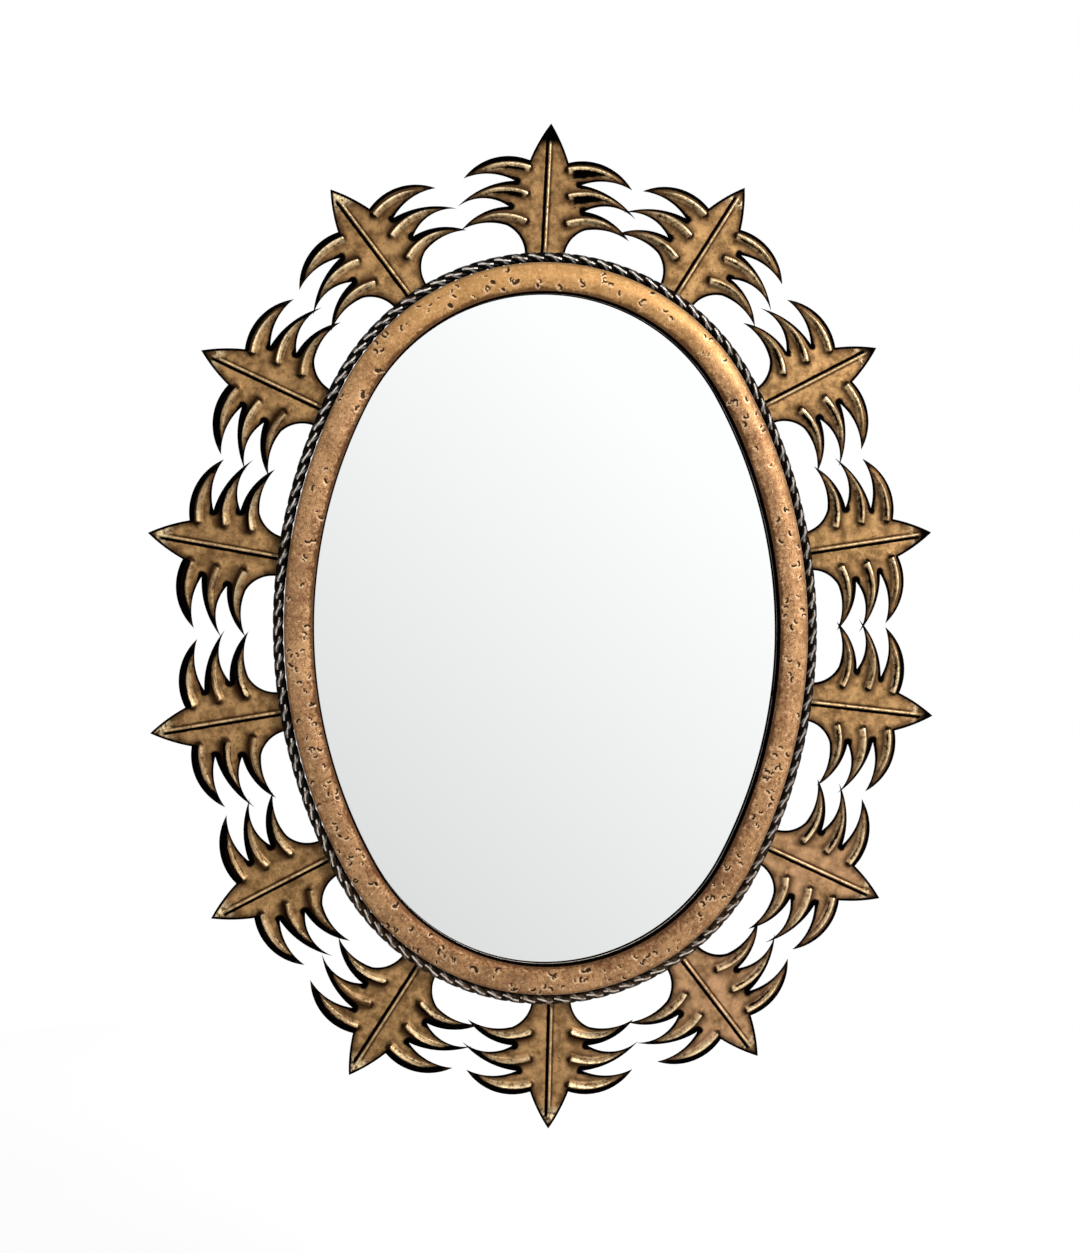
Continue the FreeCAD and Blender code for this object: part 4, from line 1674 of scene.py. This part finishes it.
@dataclass
class LeafBorder:
    """Fourteen palm leaves on the outside of the hoop, every second one lapping behind its neighbours."""

    oval: Oval
    finish: Finish = GildedLeaf("leaf_bronze")
    length: float = 0.1235
    middle_tip: float = 0.364
    lobe_lap: float = 0.0053
    sheet: float = 0.0012
    depth: float = 0.0152
    step_back: float = 0.0016
    leans: tuple[float, ...] = (3.5, -1.0, -1.5, 0.5, -1.0, 0.5, -2.5, 2.0, -0.5, -1.0, 0.0, 2.5, 0.5, -2.5)
    tips: tuple[float, ...] = (1.0, 0.6, 0.7, 0.75, 0.7, 0.6, 0.6, 0.45, 0.4, 0.36, 0.36, 0.5, 0.6, 0.36)
    stem: float = 0.008
    dent: float = 0.00018
    dent_size: float = 0.011
    dent_shift: float = 7.3
    # Black shares and highlight shifts vary at random, with painted shade and painted highlights set by how
    # each flank faces the light.
    black_outside: float = 0.64
    black_by_shade: float = 0.15
    black_spread: float = 0.16
    black_limits: Span = (0.42, 0.9)
    under_spread: Span = (-0.3, 0.15)
    under_by_light: float = 0.34
    under_least: float = -0.1
    shadowed_lobes: int = 2
    highlight_shift: float = -0.6
    highlight_shift_by_shade: float = -1.7
    highlight_shift_spread: float = 0.5
    # Direction away from the light in the wall's plane; claw sides facing it get painted shade.
    shade: Vector = field(default_factory=lambda: Vector((-0.9, 0.0, -0.45)))
    # Extra painted shadow below the beads of the top leaf's first two lobes, by leaf and side.
    top_under_shadow: dict[tuple[int, int], float] = field(default_factory=lambda: {(0, 1): 0.75, (0, -1): 0.62})
    first_seed: int = 500

    def patina_and_shade(self, facings: Sequence[Vector], along: Vector, across: Vector, index: int,
               chance: random.Random) -> dict[tuple[int, int], tuple[float, float, float]]:
        """How black and how bright a claw is painted: flanks that face away from the light keep more black
        as painted shade, an inside that faces away gets painted shadow below the bead, and the painted
        highlight line moves towards the light.

        Args:
            facings: direction of each outer flank in the pattern.
            along, across: the pattern's axes in space.
            index: the leaf's number, clockwise from the top.
            chance: the leaf's own chance.

        Returns:
            Shares of black outside and inside the bead, painted shade as well as antiquing, and how far the
            painted highlight line lies outside the crest in millimetres, by side and lobe.
        """
        weights = {}
        least, most = self.black_limits
        for side in (1, -1):
            for lobe, facing in enumerate(facings):
                away = (along * facing.x + across * facing.y * side).dot(self.shade)
                outer = self.black_outside + self.black_by_shade * away
                outer += chance.uniform(-self.black_spread, self.black_spread)
                inner = chance.uniform(*self.under_spread) - self.under_by_light * min(0.0, away)
                if lobe < self.shadowed_lobes:
                    inner += self.top_under_shadow.get((index, side), 0.0)
                rubbed_highlight = self.highlight_shift + self.highlight_shift_by_shade * away
                rubbed_highlight += chance.uniform(-self.highlight_shift_spread, self.highlight_shift_spread)
                weights[side, lobe] = (min(most, max(least, outer)), max(self.under_least, inner), rubbed_highlight)
        return weights

    def stamped(self, pattern: BMesh, facings: Sequence[Vector], arc: OvalArc, angle: float,
                index: int) -> BMesh:
        """Emboss a copy of the pattern, set it on the hoop and give it its thickness.

        Args:
            pattern: the flat pattern.
            facings: direction of each claw's outer flank in the pattern.
            arc, angle: where its stem stands.
            index: the leaf's number, clockwise from the top.

        Returns:
            The leaf's mesh.
        """
        heading = angle - math.radians(self.leans[index])
        along = Vector((math.cos(heading), 0, math.sin(heading)))
        across = Vector((math.sin(heading), 0, -math.cos(heading)))
        root = arc.point(angle, self.oval.band_width, self.front(index))
        weights = self.patina_and_shade(facings, along, across, index, random.Random(self.first_seed + index))
        # The midrib's side away from the light, where a painted shadow runs along it.
        shaded = math.copysign(1.0, across.dot(self.shade))
        mesh = pattern.copy()
        for mark in (Mark.RIB, Mark.TIP, Mark.HEAVY, Mark.UNDER, Mark.BACK):
            mesh.verts.layers.float.new(mark.value)
        layers = {Mark(name): layer for name, layer in mesh.verts.layers.float.items()}
        foot = self.oval.band_width + arc.radius
        for vert in mesh.verts:
            u, v = vert.co.x, vert.co.y
            heavy, under, rubbed_highlight = weights[1 if v > 0 else -1, round(vert[layers[Mark.LOBE]])]
            # Shift the crest measure so that the painted highlight line lies towards the light.
            vert[layers[Mark.OUT]] -= rubbed_highlight
            vert[layers[Mark.HEAVY]] = heavy
            vert[layers[Mark.UNDER]] = under
            vert[layers[Mark.RIB]] = v * shaded / MM
            vert[layers[Mark.TIP]] = vert[layers[Mark.LANCE]] * self.tips[index]
            dent = self.dent * wiggle(Vector((u, v, index)), self.dent_size, index * self.dent_shift)
            spot = root + along * u + across * v
            arm = spot - arc.centre
            arm.y = 0
            inward = arm.dot(along)
            to_hoop = math.sqrt(inward * inward - arm.length_squared + foot * foot) - inward
            spot += along * to_hoop * max(0.0, 1 - u / self.stem)
            vert.co = spot + TOWARDS_VIEWER * (vert[layers[Mark.RISE]] + dent)
        self.thicken(mesh)
        return mesh

    def thicken(self, mesh: BMesh) -> None:
        """Give a leaf its back, and mark it.

        Args:
            mesh: the leaf's face.
        """
        layer = mesh.verts.layers.float[Mark.BACK.value]
        sides = bmesh.ops.extrude_face_region(mesh, geom=mesh.faces[:], use_keep_orig=True)["geom"]
        back = [item for item in sides if isinstance(item, BMVert)]
        bmesh.ops.translate(mesh, verts=back, vec=-TOWARDS_VIEWER * self.sheet)
        for vert in back:
            vert[layer] = 1.0
        bmesh.ops.recalc_face_normals(mesh, faces=mesh.faces)

    def line(self) -> float:
        """Offset of the oval that the leaves are spaced on."""
        return self.oval.band_width + self.middle_tip * self.length

    def places(self) -> Iterator[tuple[OvalArc, float]]:
        """Arc and angle of each stem, clockwise from the top."""
        return self.oval.steps(len(self.leans), self.line())

    def front(self, index: int) -> float:
        """Depth of a leaf's face; every second one stands back."""
        return self.depth - self.step_back * (index % 2)

    def build(self) -> None:
        """Make the pattern once and stamp a leaf from it at each place."""
        pitch = sum(self.oval.lengths(self.line())) / len(self.leans)
        leaf = PalmLeaf(pitch / 2 + self.lobe_lap, self.length)
        pattern, facings = leaf.pattern(), leaf.facings()
        for index, (arc, angle) in enumerate(self.places()):
            mesh = self.stamped(pattern, facings, arc, angle, index)
            node = f"leaf_{index + 1:02d}"
            finished(f"palm_{node}", mesh, self.finish, Slot.LEAF_GOLD, [node], crease=THIN_CREASE)
        pattern.free()


@dataclass
class StemWelds:
    """Rippled fillet bead in the corner behind each leaf stem."""

    oval: Oval
    border: LeafBorder
    finish: Finish = PaintedIron("weld_black", gloss=0.42)
    leg: float = 0.004
    length: float = 0.028
    ripples: int = 9
    cuts: int = 54
    flat_cuts: int = 2
    round_cuts: int = 8
    bulge: float = 0.55
    ripple_curve: float = 0.04
    ripple_depth: float = 0.09
    end_size: float = 0.3
    end_taper: float = 0.1

    def section(self, share: float) -> tuple[float, float]:
        """Point of the closed fillet section, in legs from its corner.

        Args:
            share: way round the section.

        Returns:
            Legs outward and legs back.
        """
        cuts = 2 * self.flat_cuts + self.round_cuts
        way = share * cuts
        if way <= self.flat_cuts:
            return way / self.flat_cuts, 0.0
        if way >= cuts - self.flat_cuts:
            return 0.0, (cuts - way) / self.flat_cuts
        turn = (way - self.flat_cuts) / self.round_cuts * math.pi / 2
        reach = between(1 / (math.cos(turn) + math.sin(turn)), 1.0, self.bulge)
        return reach * math.cos(turn), reach * math.sin(turn)

    def bead(self, mesh: BMesh, arc: OvalArc, angle: float, back: float) -> None:
        """Run one bead along the hoop behind a stem.

        Args:
            mesh: mesh that takes the bead.
            arc, angle: where the stem stands.
            back: depth of the leaf's back.
        """
        sweep = self.length / (arc.radius + self.oval.band_width)

        def place(s: float, t: float) -> Vector:
            """Point of the bead.

            Args:
                s: share along the bead.
                t: share round its section.

            Returns:
                The point.
            """
            out, down = self.section(t)
            wave = math.cos(math.tau * self.ripples * (s + self.ripple_curve * (out * out + down * down)))
            ends = soft_step(0.0, self.end_taper, s) * soft_step(0.0, self.end_taper, 1 - s)
            fat = self.leg * between(self.end_size, 1.0, ends) * between(1 - self.ripple_depth, 1.0, wave)
            return arc.point(angle + sweep * (s - 0.5), self.oval.band_width + out * fat, back - down * fat)

        tube(mesh, self.cuts, 2 * self.flat_cuts + self.round_cuts, place)

    def build(self) -> None:
        """Lay a bead behind every stem."""
        mesh = bmesh.new()
        for index, (arc, angle) in enumerate(self.border.places()):
            self.bead(mesh, arc, angle, self.border.front(index) - self.border.sheet)
        finished("weld_beads", mesh, self.finish, Slot.HOOP_IRON, ["stem_welds"], crease=WELD_CREASE)


@dataclass
class RetainingTabs:
    """Bent sheet tabs on the inside of the hoop, each with a round-cornered finger over the board."""

    oval: Oval
    finish: Finish = ZincSteel("zinc_steel")
    count: int = 10
    shift: float = 0.5
    hoop_bar: float = 0.003
    width: float = 0.014
    sheet: float = 0.001
    reach: float = 0.012
    foot: float = 0.008
    board: float = 0.0105
    bend: float = 0.0018
    nose: float = 0.0035
    cuts: int = 20
    bend_cuts: int = 6
    nose_cuts: int = 6

    def face(self) -> Profile:
        """Face of the bent sheet that lies on the hoop and the board, from its foot to its nose.

        Returns:
            Its (outward, depth) points.
        """
        wall = self.oval.band_width - self.hoop_bar
        hinge = (wall - self.bend, self.board - self.bend)
        turns = [math.pi / 2 * cut / self.bend_cuts for cut in range(self.bend_cuts + 1)]
        bend = [(hinge[0] + self.bend * math.cos(turn), hinge[1] + self.bend * math.sin(turn))
                for turn in turns]
        shares = [self.nose / self.reach * cut / self.nose_cuts for cut in range(self.nose_cuts, -1, -1)]
        finger = [(wall - self.reach * (1 - share), self.board) for share in shares]
        return [(wall, self.board - self.foot), *bend, *finger]

    def build(self) -> None:
        """Bend a tab at every place round the hoop, then give the sheet its thickness."""
        face = self.face()
        inside = self.oval.band_width - self.hoop_bar
        mesh = bmesh.new()
        for arc, angle in self.oval.steps(self.count, inside, self.shift):
            def place(s: float, t: float) -> Vector:
                """Point of the tab's sheet.

                Args:
                    s: share across the tab.
                    t: share from its foot to its nose.

                Returns:
                    The point.
                """
                outward, depth = face[round(t * (len(face) - 1))]
                left = max(0.0, self.nose - (outward - inside + self.reach))
                half = self.width / 2 - self.nose + math.sqrt(self.nose ** 2 - left ** 2)
                return arc.point(angle + half * (2 * s - 1) / (arc.radius + inside), outward, depth)
            laid_grid(mesh, self.cuts, len(face) - 1, place)
        mesh.normal_update()
        bmesh.ops.solidify(mesh, geom=mesh.faces[:], thickness=self.sheet)
        bmesh.ops.recalc_face_normals(mesh, faces=mesh.faces)
        finished("bent_tabs", mesh, self.finish, Slot.HANGER_STEEL, ["retaining_tabs"], crease=THIN_CREASE)


@dataclass
class Hanger:
    """Flat bar across the hoop, a strap folded round the ring, two rivets and the D-shaped ring."""

    oval: Oval
    iron: Finish = PaintedIron("hoop_black")
    steel: Finish = ZincSteel("zinc_steel")
    hoop_bar: float = 0.003
    ease: float = 0.0005
    strap_sheet: float = 0.001
    strap_seam: float = 0.00006
    eye: float = 0.00235
    head_radius: float = 0.0028
    wire: float = 0.00175
    ring_half: float = 0.016
    ring_corner: float = 0.005
    ring_back: float = 0.00195
    ring_reach: float = 0.021
    pivot: Vector = field(default_factory=lambda: Vector((0.0, -0.0065, -0.01925)))
    bar_cuts: int = 160
    dent: float = 0.00015
    dent_size: float = 0.012
    dent_run: float = 0.4
    strap_cuts: int = 96
    strap_ease: float = 0.2
    dome_rise: float = 0.43
    dome_cuts: int = 8
    shank: float = 0.53
    turns: int = 24
    ring_cuts: int = 144
    wire_cuts: int = 20

    def bar(self) -> None:
        """Flat bar with softened edges, its ends shaped to the hoop's inside."""
        low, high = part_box("hanger_bar")
        top = self.oval.arcs[0]
        reach = top.radius + self.oval.band_width - self.hoop_bar
        ring = rounded_slab(high.y - low.y, high.z - low.z, self.ease)
        middle = (low + high) / 2

        def place(s: float, t: float) -> Vector:
            """Point of the bar.

            Args:
                s: share along the bar.
                t: share round its section.

            Returns:
                The point.
            """
            depth, rise = ring[round(t * len(ring)) % len(ring)]
            height = middle.z + rise
            end = math.sqrt(reach ** 2 - (height - top.centre.z) ** 2)
            dent = self.dent * (wiggle(Vector((s * self.dent_run, 0, rise)), self.dent_size) - 1)
            dent *= math.copysign(1, depth)
            return Vector((end * (2 * s - 1), middle.y + depth + dent, height))

        mesh = bmesh.new()
        tube(mesh, self.bar_cuts, len(ring), place)
        finished("back_bar", mesh, self.iron, Slot.HOOP_IRON, ["hanger_bar"], crease=BAR_CREASE)

    def strap_path(self, share: float) -> tuple[Vector, Vector]:
        """Centre line of the folded strap, as seen along its width.

        Args:
            share: way along, from the tail on the bar, round the eye, to the other tail.

        Returns:
            The point, and the direction square to the sheet.
        """
        low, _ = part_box("hanger_strap")
        off = self.strap_sheet / 2
        gap = math.asin(off / self.eye)
        neck = self.pivot.z - self.eye * math.cos(gap)
        tail, loop = neck - low.z, self.eye * (math.tau - 2 * gap)
        way = share * (2 * tail + loop)
        if way < tail:
            return Vector((0, self.pivot.y - off, low.z + way)), Vector((0, -1, 0))
        if way > tail + loop:
            return Vector((0, self.pivot.y + off, neck - (way - tail - loop))), Vector((0, 1, 0))
        turn = gap + (way - tail) / self.eye
        out = Vector((0, -math.sin(turn), -math.cos(turn)))
        return self.pivot + out * self.eye, out

    def strap(self) -> None:
        """Sheet strap folded round the straight side of the ring, both tails flat on the bar."""
        low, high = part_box("hanger_strap")
        thick = self.strap_sheet - self.strap_seam
        ring = rounded_slab(thick, high.x - low.x, thick * self.strap_ease)

        def place(s: float, t: float) -> Vector:
            """Point of the strap.

            Args:
                s: share along the strap.
                t: share round its section.

            Returns:
                The point.
            """
            off, across = ring[round(t * len(ring)) % len(ring)]
            point, out = self.strap_path(s)
            return point + out * off + Vector((across, 0, 0))

        mesh = bmesh.new()
        tube(mesh, self.strap_cuts, len(ring), place)
        finished("folded_strap", mesh, self.steel, Slot.HANGER_STEEL, ["hanger_strap"], crease=THIN_CREASE)

    def rivets(self) -> None:
        """Domed rivets through the strap and the bar."""
        low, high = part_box("hanger_rivets")
        rise, shank = self.head_radius * self.dome_rise, self.head_radius * self.shank
        under = high.y - rise
        turns = [math.pi / 2 * cut / self.dome_cuts for cut in range(self.dome_cuts + 1)]
        dome = [(self.head_radius * math.cos(turn), under + rise * math.sin(turn)) for turn in turns]
        mesh = bmesh.new()
        for side in (1, -1):
            axis = Vector((side * (high.x - self.head_radius), 0, (low.z + high.z) / 2))
            points = [(0.0, low.y), (shank, low.y), (shank, under), *dome]
            run = [mesh.verts.new(axis + Vector((out, depth, 0))) for out, depth in points]
            edges = [mesh.edges.new(pair) for pair in zip(run, run[1:])]
            bmesh.ops.spin(mesh, geom=run + edges, cent=axis, axis=TOWARDS_VIEWER, angle=math.tau,
                           steps=self.turns, use_merge=True, use_duplicate=False)
        bmesh.ops.remove_doubles(mesh, verts=mesh.verts, dist=SPIN_MERGE)
        bmesh.ops.recalc_face_normals(mesh, faces=mesh.faces)
        finished("domed_rivets", mesh, self.steel, Slot.HANGER_STEEL, ["hanger_rivets"], crease=THIN_CREASE)

    def ring_path(self, share: float) -> tuple[Vector, Vector]:
        """Centre line of the ring before it leans.

        Args:
            share: way round, from the middle of the straight side.

        Returns:
            The point from the pivot, and the direction out of the ring.
        """
        straight = self.ring_half - self.ring_corner
        corner, arch = self.ring_corner * math.pi / 2, self.ring_half * math.pi
        way = share * (2 * straight + 2 * corner + arch)
        if way < straight:
            return Vector((way, 0, 0)), Vector((0, 0, -1))
        way -= straight
        for across, radius, start, length in ((straight, self.ring_corner, -math.pi / 2, corner),
                                              (0.0, self.ring_half, 0.0, arch),
                                              (-straight, self.ring_corner, math.pi, corner)):
            if way <= length:
                turn = start + way / radius
                out = Vector((math.cos(turn), 0, math.sin(turn)))
                return Vector((across, 0, self.ring_corner)) + out * radius, out
            way -= length
        return Vector((way - straight, 0, 0)), Vector((0, 0, -1))

    def ring(self) -> None:
        """Round wire bent to a D, standing up in the eye and leaning on the board."""
        lean = Matrix.Rotation(math.asin(self.ring_back / self.ring_reach), 3, "X")

        def place(s: float, t: float) -> Vector:
            """Point of the wire.

            Args:
                s: share along the wire.
                t: share round it.

            Returns:
                The point.
            """
            point, out = self.ring_path(s % 1.0)
            arm = out * math.cos(math.tau * t) + TOWARDS_VIEWER * math.sin(math.tau * t)
            return self.pivot + lean @ (point + self.wire * arm)

        mesh = bmesh.new()
        tube(mesh, self.ring_cuts, self.wire_cuts, place)
        finished("wire_ring", mesh, self.steel, Slot.HANGER_STEEL, ["hanging_ring"], body=Body.RING)

    def build(self) -> None:
        """Make the bar, the strap, the rivets and the ring."""
        self.bar()
        self.strap()
        self.rivets()
        self.ring()


# Studio


@dataclass(frozen=True)
class Lamp:
    """A square soft lamp: where it hangs, its side and its power in watts."""

    name: str
    place: tuple[float, float, float]
    size: float
    watts: float


@dataclass
class Studio:
    """White room, a pale floor far below, soft lamps and the camera of the photograph."""

    image: tuple[int, int] = (1080, 1253)
    focal_pixels: float = 2200.0
    target: Vector = field(default_factory=lambda: Vector((0.0, -0.0145, -0.2829)))
    distance: float = 1.958
    azimuth: float = -6.41
    elevation: float = 2.21
    roll: float = 0.59
    target_pixel: tuple[float, float] = (547.9, 630.4)
    floor_drop: float = 0.3
    floor_radius: float = 2.0
    floor_sides: int = 96
    floor_grey: Colour = (0.9, 0.9, 0.9, 1.0)
    floor_glow: float = 1.2
    floor_glow_share: float = 0.72
    sensor: float = 36.0
    daylight: float = 0.28
    mirrored_grey: float = 0.88
    mirrored_tilt: float = 0.835
    mirrored_limits: Span = (0.74, 1.06)
    lamps: tuple[Lamp, ...] = (
        Lamp("key", (1.0, -1.1, 0.45), 0.4, 28.0),
        Lamp("fill", (-1.6, -1.6, 0.1), 1.2, 3.4),
        Lamp("back", (0.6, 2.0, 0.8), 1.2, 14.0),
    )

    def camera(self) -> None:
        """Set the camera where the photograph was taken."""
        data = bpy.data.cameras.new("camera")
        width, height = self.image
        data.sensor_fit = "AUTO"
        data.sensor_width = self.sensor
        data.lens = self.focal_pixels * data.sensor_width / height
        data.shift_x = (width / 2 - self.target_pixel[0]) / height
        data.shift_y = (self.target_pixel[1] - height / 2) / height
        made = linked("camera", data)
        a, e = math.radians(self.azimuth), math.radians(self.elevation)
        back = Vector((math.sin(a) * math.cos(e), -math.cos(a) * math.cos(e), math.sin(e)))
        turn = (-back).to_track_quat("-Z", "Y").to_matrix().to_4x4()
        roll = Matrix.Rotation(-math.radians(self.roll), 4, "Z")
        made.matrix_world = Matrix.Translation(self.target + back * self.distance) @ turn @ roll
        bpy.context.scene.camera = made

    def hang(self, lamp: Lamp) -> None:
        """Hang a lamp so that it faces the mirror.

        Args:
            lamp: the lamp.
        """
        data = bpy.data.lights.new(lamp.name, "AREA")
        data.size, data.energy = lamp.size, lamp.watts
        made = linked(lamp.name, data)
        made.location = lamp.place
        made.rotation_mode = "QUATERNION"
        made.rotation_quaternion = (self.target - Vector(lamp.place)).to_track_quat("-Z", "Y")

    def seen(self, sheet: NodeSheet) -> Signal:
        """Tell the rays that show a surface as it is: from the camera, a reflection or clear glass.

        Args:
            sheet: sheet that takes the nodes.

        Returns:
            1 for those rays and 0 for the others.
        """
        path = sheet.node("ShaderNodeLightPath").outputs
        rays = [Signal(sheet, path[f"Is {kind} Ray"]) for kind in ("Camera", "Glossy", "Transmission")]
        return rays[0].most(rays[1]).most(rays[2])

    def world(self) -> None:
        """White all round for the eye; the mirror finds it a little greyer low on the left."""
        world = bpy.data.worlds.new("white_room")
        bpy.context.scene.world = world
        sheet = NodeSheet(world)
        way = sheet.node("ShaderNodeTexCoord").outputs["Generated"]
        parts = sheet.node("ShaderNodeSeparateXYZ", None, {"Vector": way}).outputs
        tilt = Signal(sheet, parts["X"]) + Signal(sheet, parts["Z"])
        darkest, lightest = self.mirrored_limits
        grey = (self.mirrored_grey + tilt * self.mirrored_tilt).least(lightest).most(darkest)
        camera = Signal(sheet, sheet.node("ShaderNodeLightPath").outputs["Is Camera Ray"])
        white = camera + (1 - camera) * grey
        strength = self.daylight + self.seen(sheet) * (white - self.daylight)
        shader = sheet.node("ShaderNodeBackground", None, {"Color": WHITE, "Strength": strength})
        sheet.node("ShaderNodeOutputWorld", None, {"Surface": shader.outputs["Background"]})

    def floor(self) -> None:
        """Lay a pale round floor below the mirror, white to the eye but for the shadow on it."""
        mesh = bmesh.new()
        bmesh.ops.create_circle(mesh, cap_ends=True, segments=self.floor_sides,
                                radius=self.floor_radius)
        bmesh.ops.translate(mesh, verts=mesh.verts, vec=(0, 0, CAD_BOX[0].z - self.floor_drop))
        data = bpy.data.meshes.new("floor")
        mesh.to_mesh(data)
        mesh.free()
        material = bpy.data.materials.new("floor_white")
        sheet = NodeSheet(material)
        pale = sheet.node("ShaderNodeBsdfDiffuse", None, {"Color": self.floor_grey})
        glow = sheet.node("ShaderNodeEmission", None, {"Color": WHITE, "Strength": self.floor_glow})
        mixed = sheet.node("ShaderNodeMixShader", None, {
            0: self.seen(sheet) * self.floor_glow_share,
            1: pale.outputs["BSDF"],
            2: glow.outputs["Emission"],
        })
        sheet.node("ShaderNodeOutputMaterial", None, {"Surface": mixed.outputs["Shader"]})
        data.materials.append(material)
        linked("floor", data)

    def build(self) -> None:
        """Set up the camera, the room and the lamps."""
        bpy.context.scene.view_settings.view_transform = "Standard"
        self.camera()
        self.world()
        self.floor()
        for lamp in self.lamps:
            self.hang(lamp)


def main() -> None:
    """Build the mirror's pieces in order and report them."""
    logging.basicConfig(level=logging.INFO, format="%(name)s %(message)s")
    oval = Oval()
    Studio().build()
    FaceBand(oval).build()
    BackHoop(oval).build()
    TwistedRope(oval).build()
    border = LeafBorder(oval)
    border.build()
    StemWelds(oval, border).build()
    RetainingTabs(oval).build()
    Hanger(oval).build()
    kept("mirror_glass", SilveredGlass("mirror_silver"), Slot.MIRROR_SILVER)
    kept("backing_board", Hardboard("hardboard"), Slot.BOARD_FIBRE)


if __name__ == "__main__":
    main()
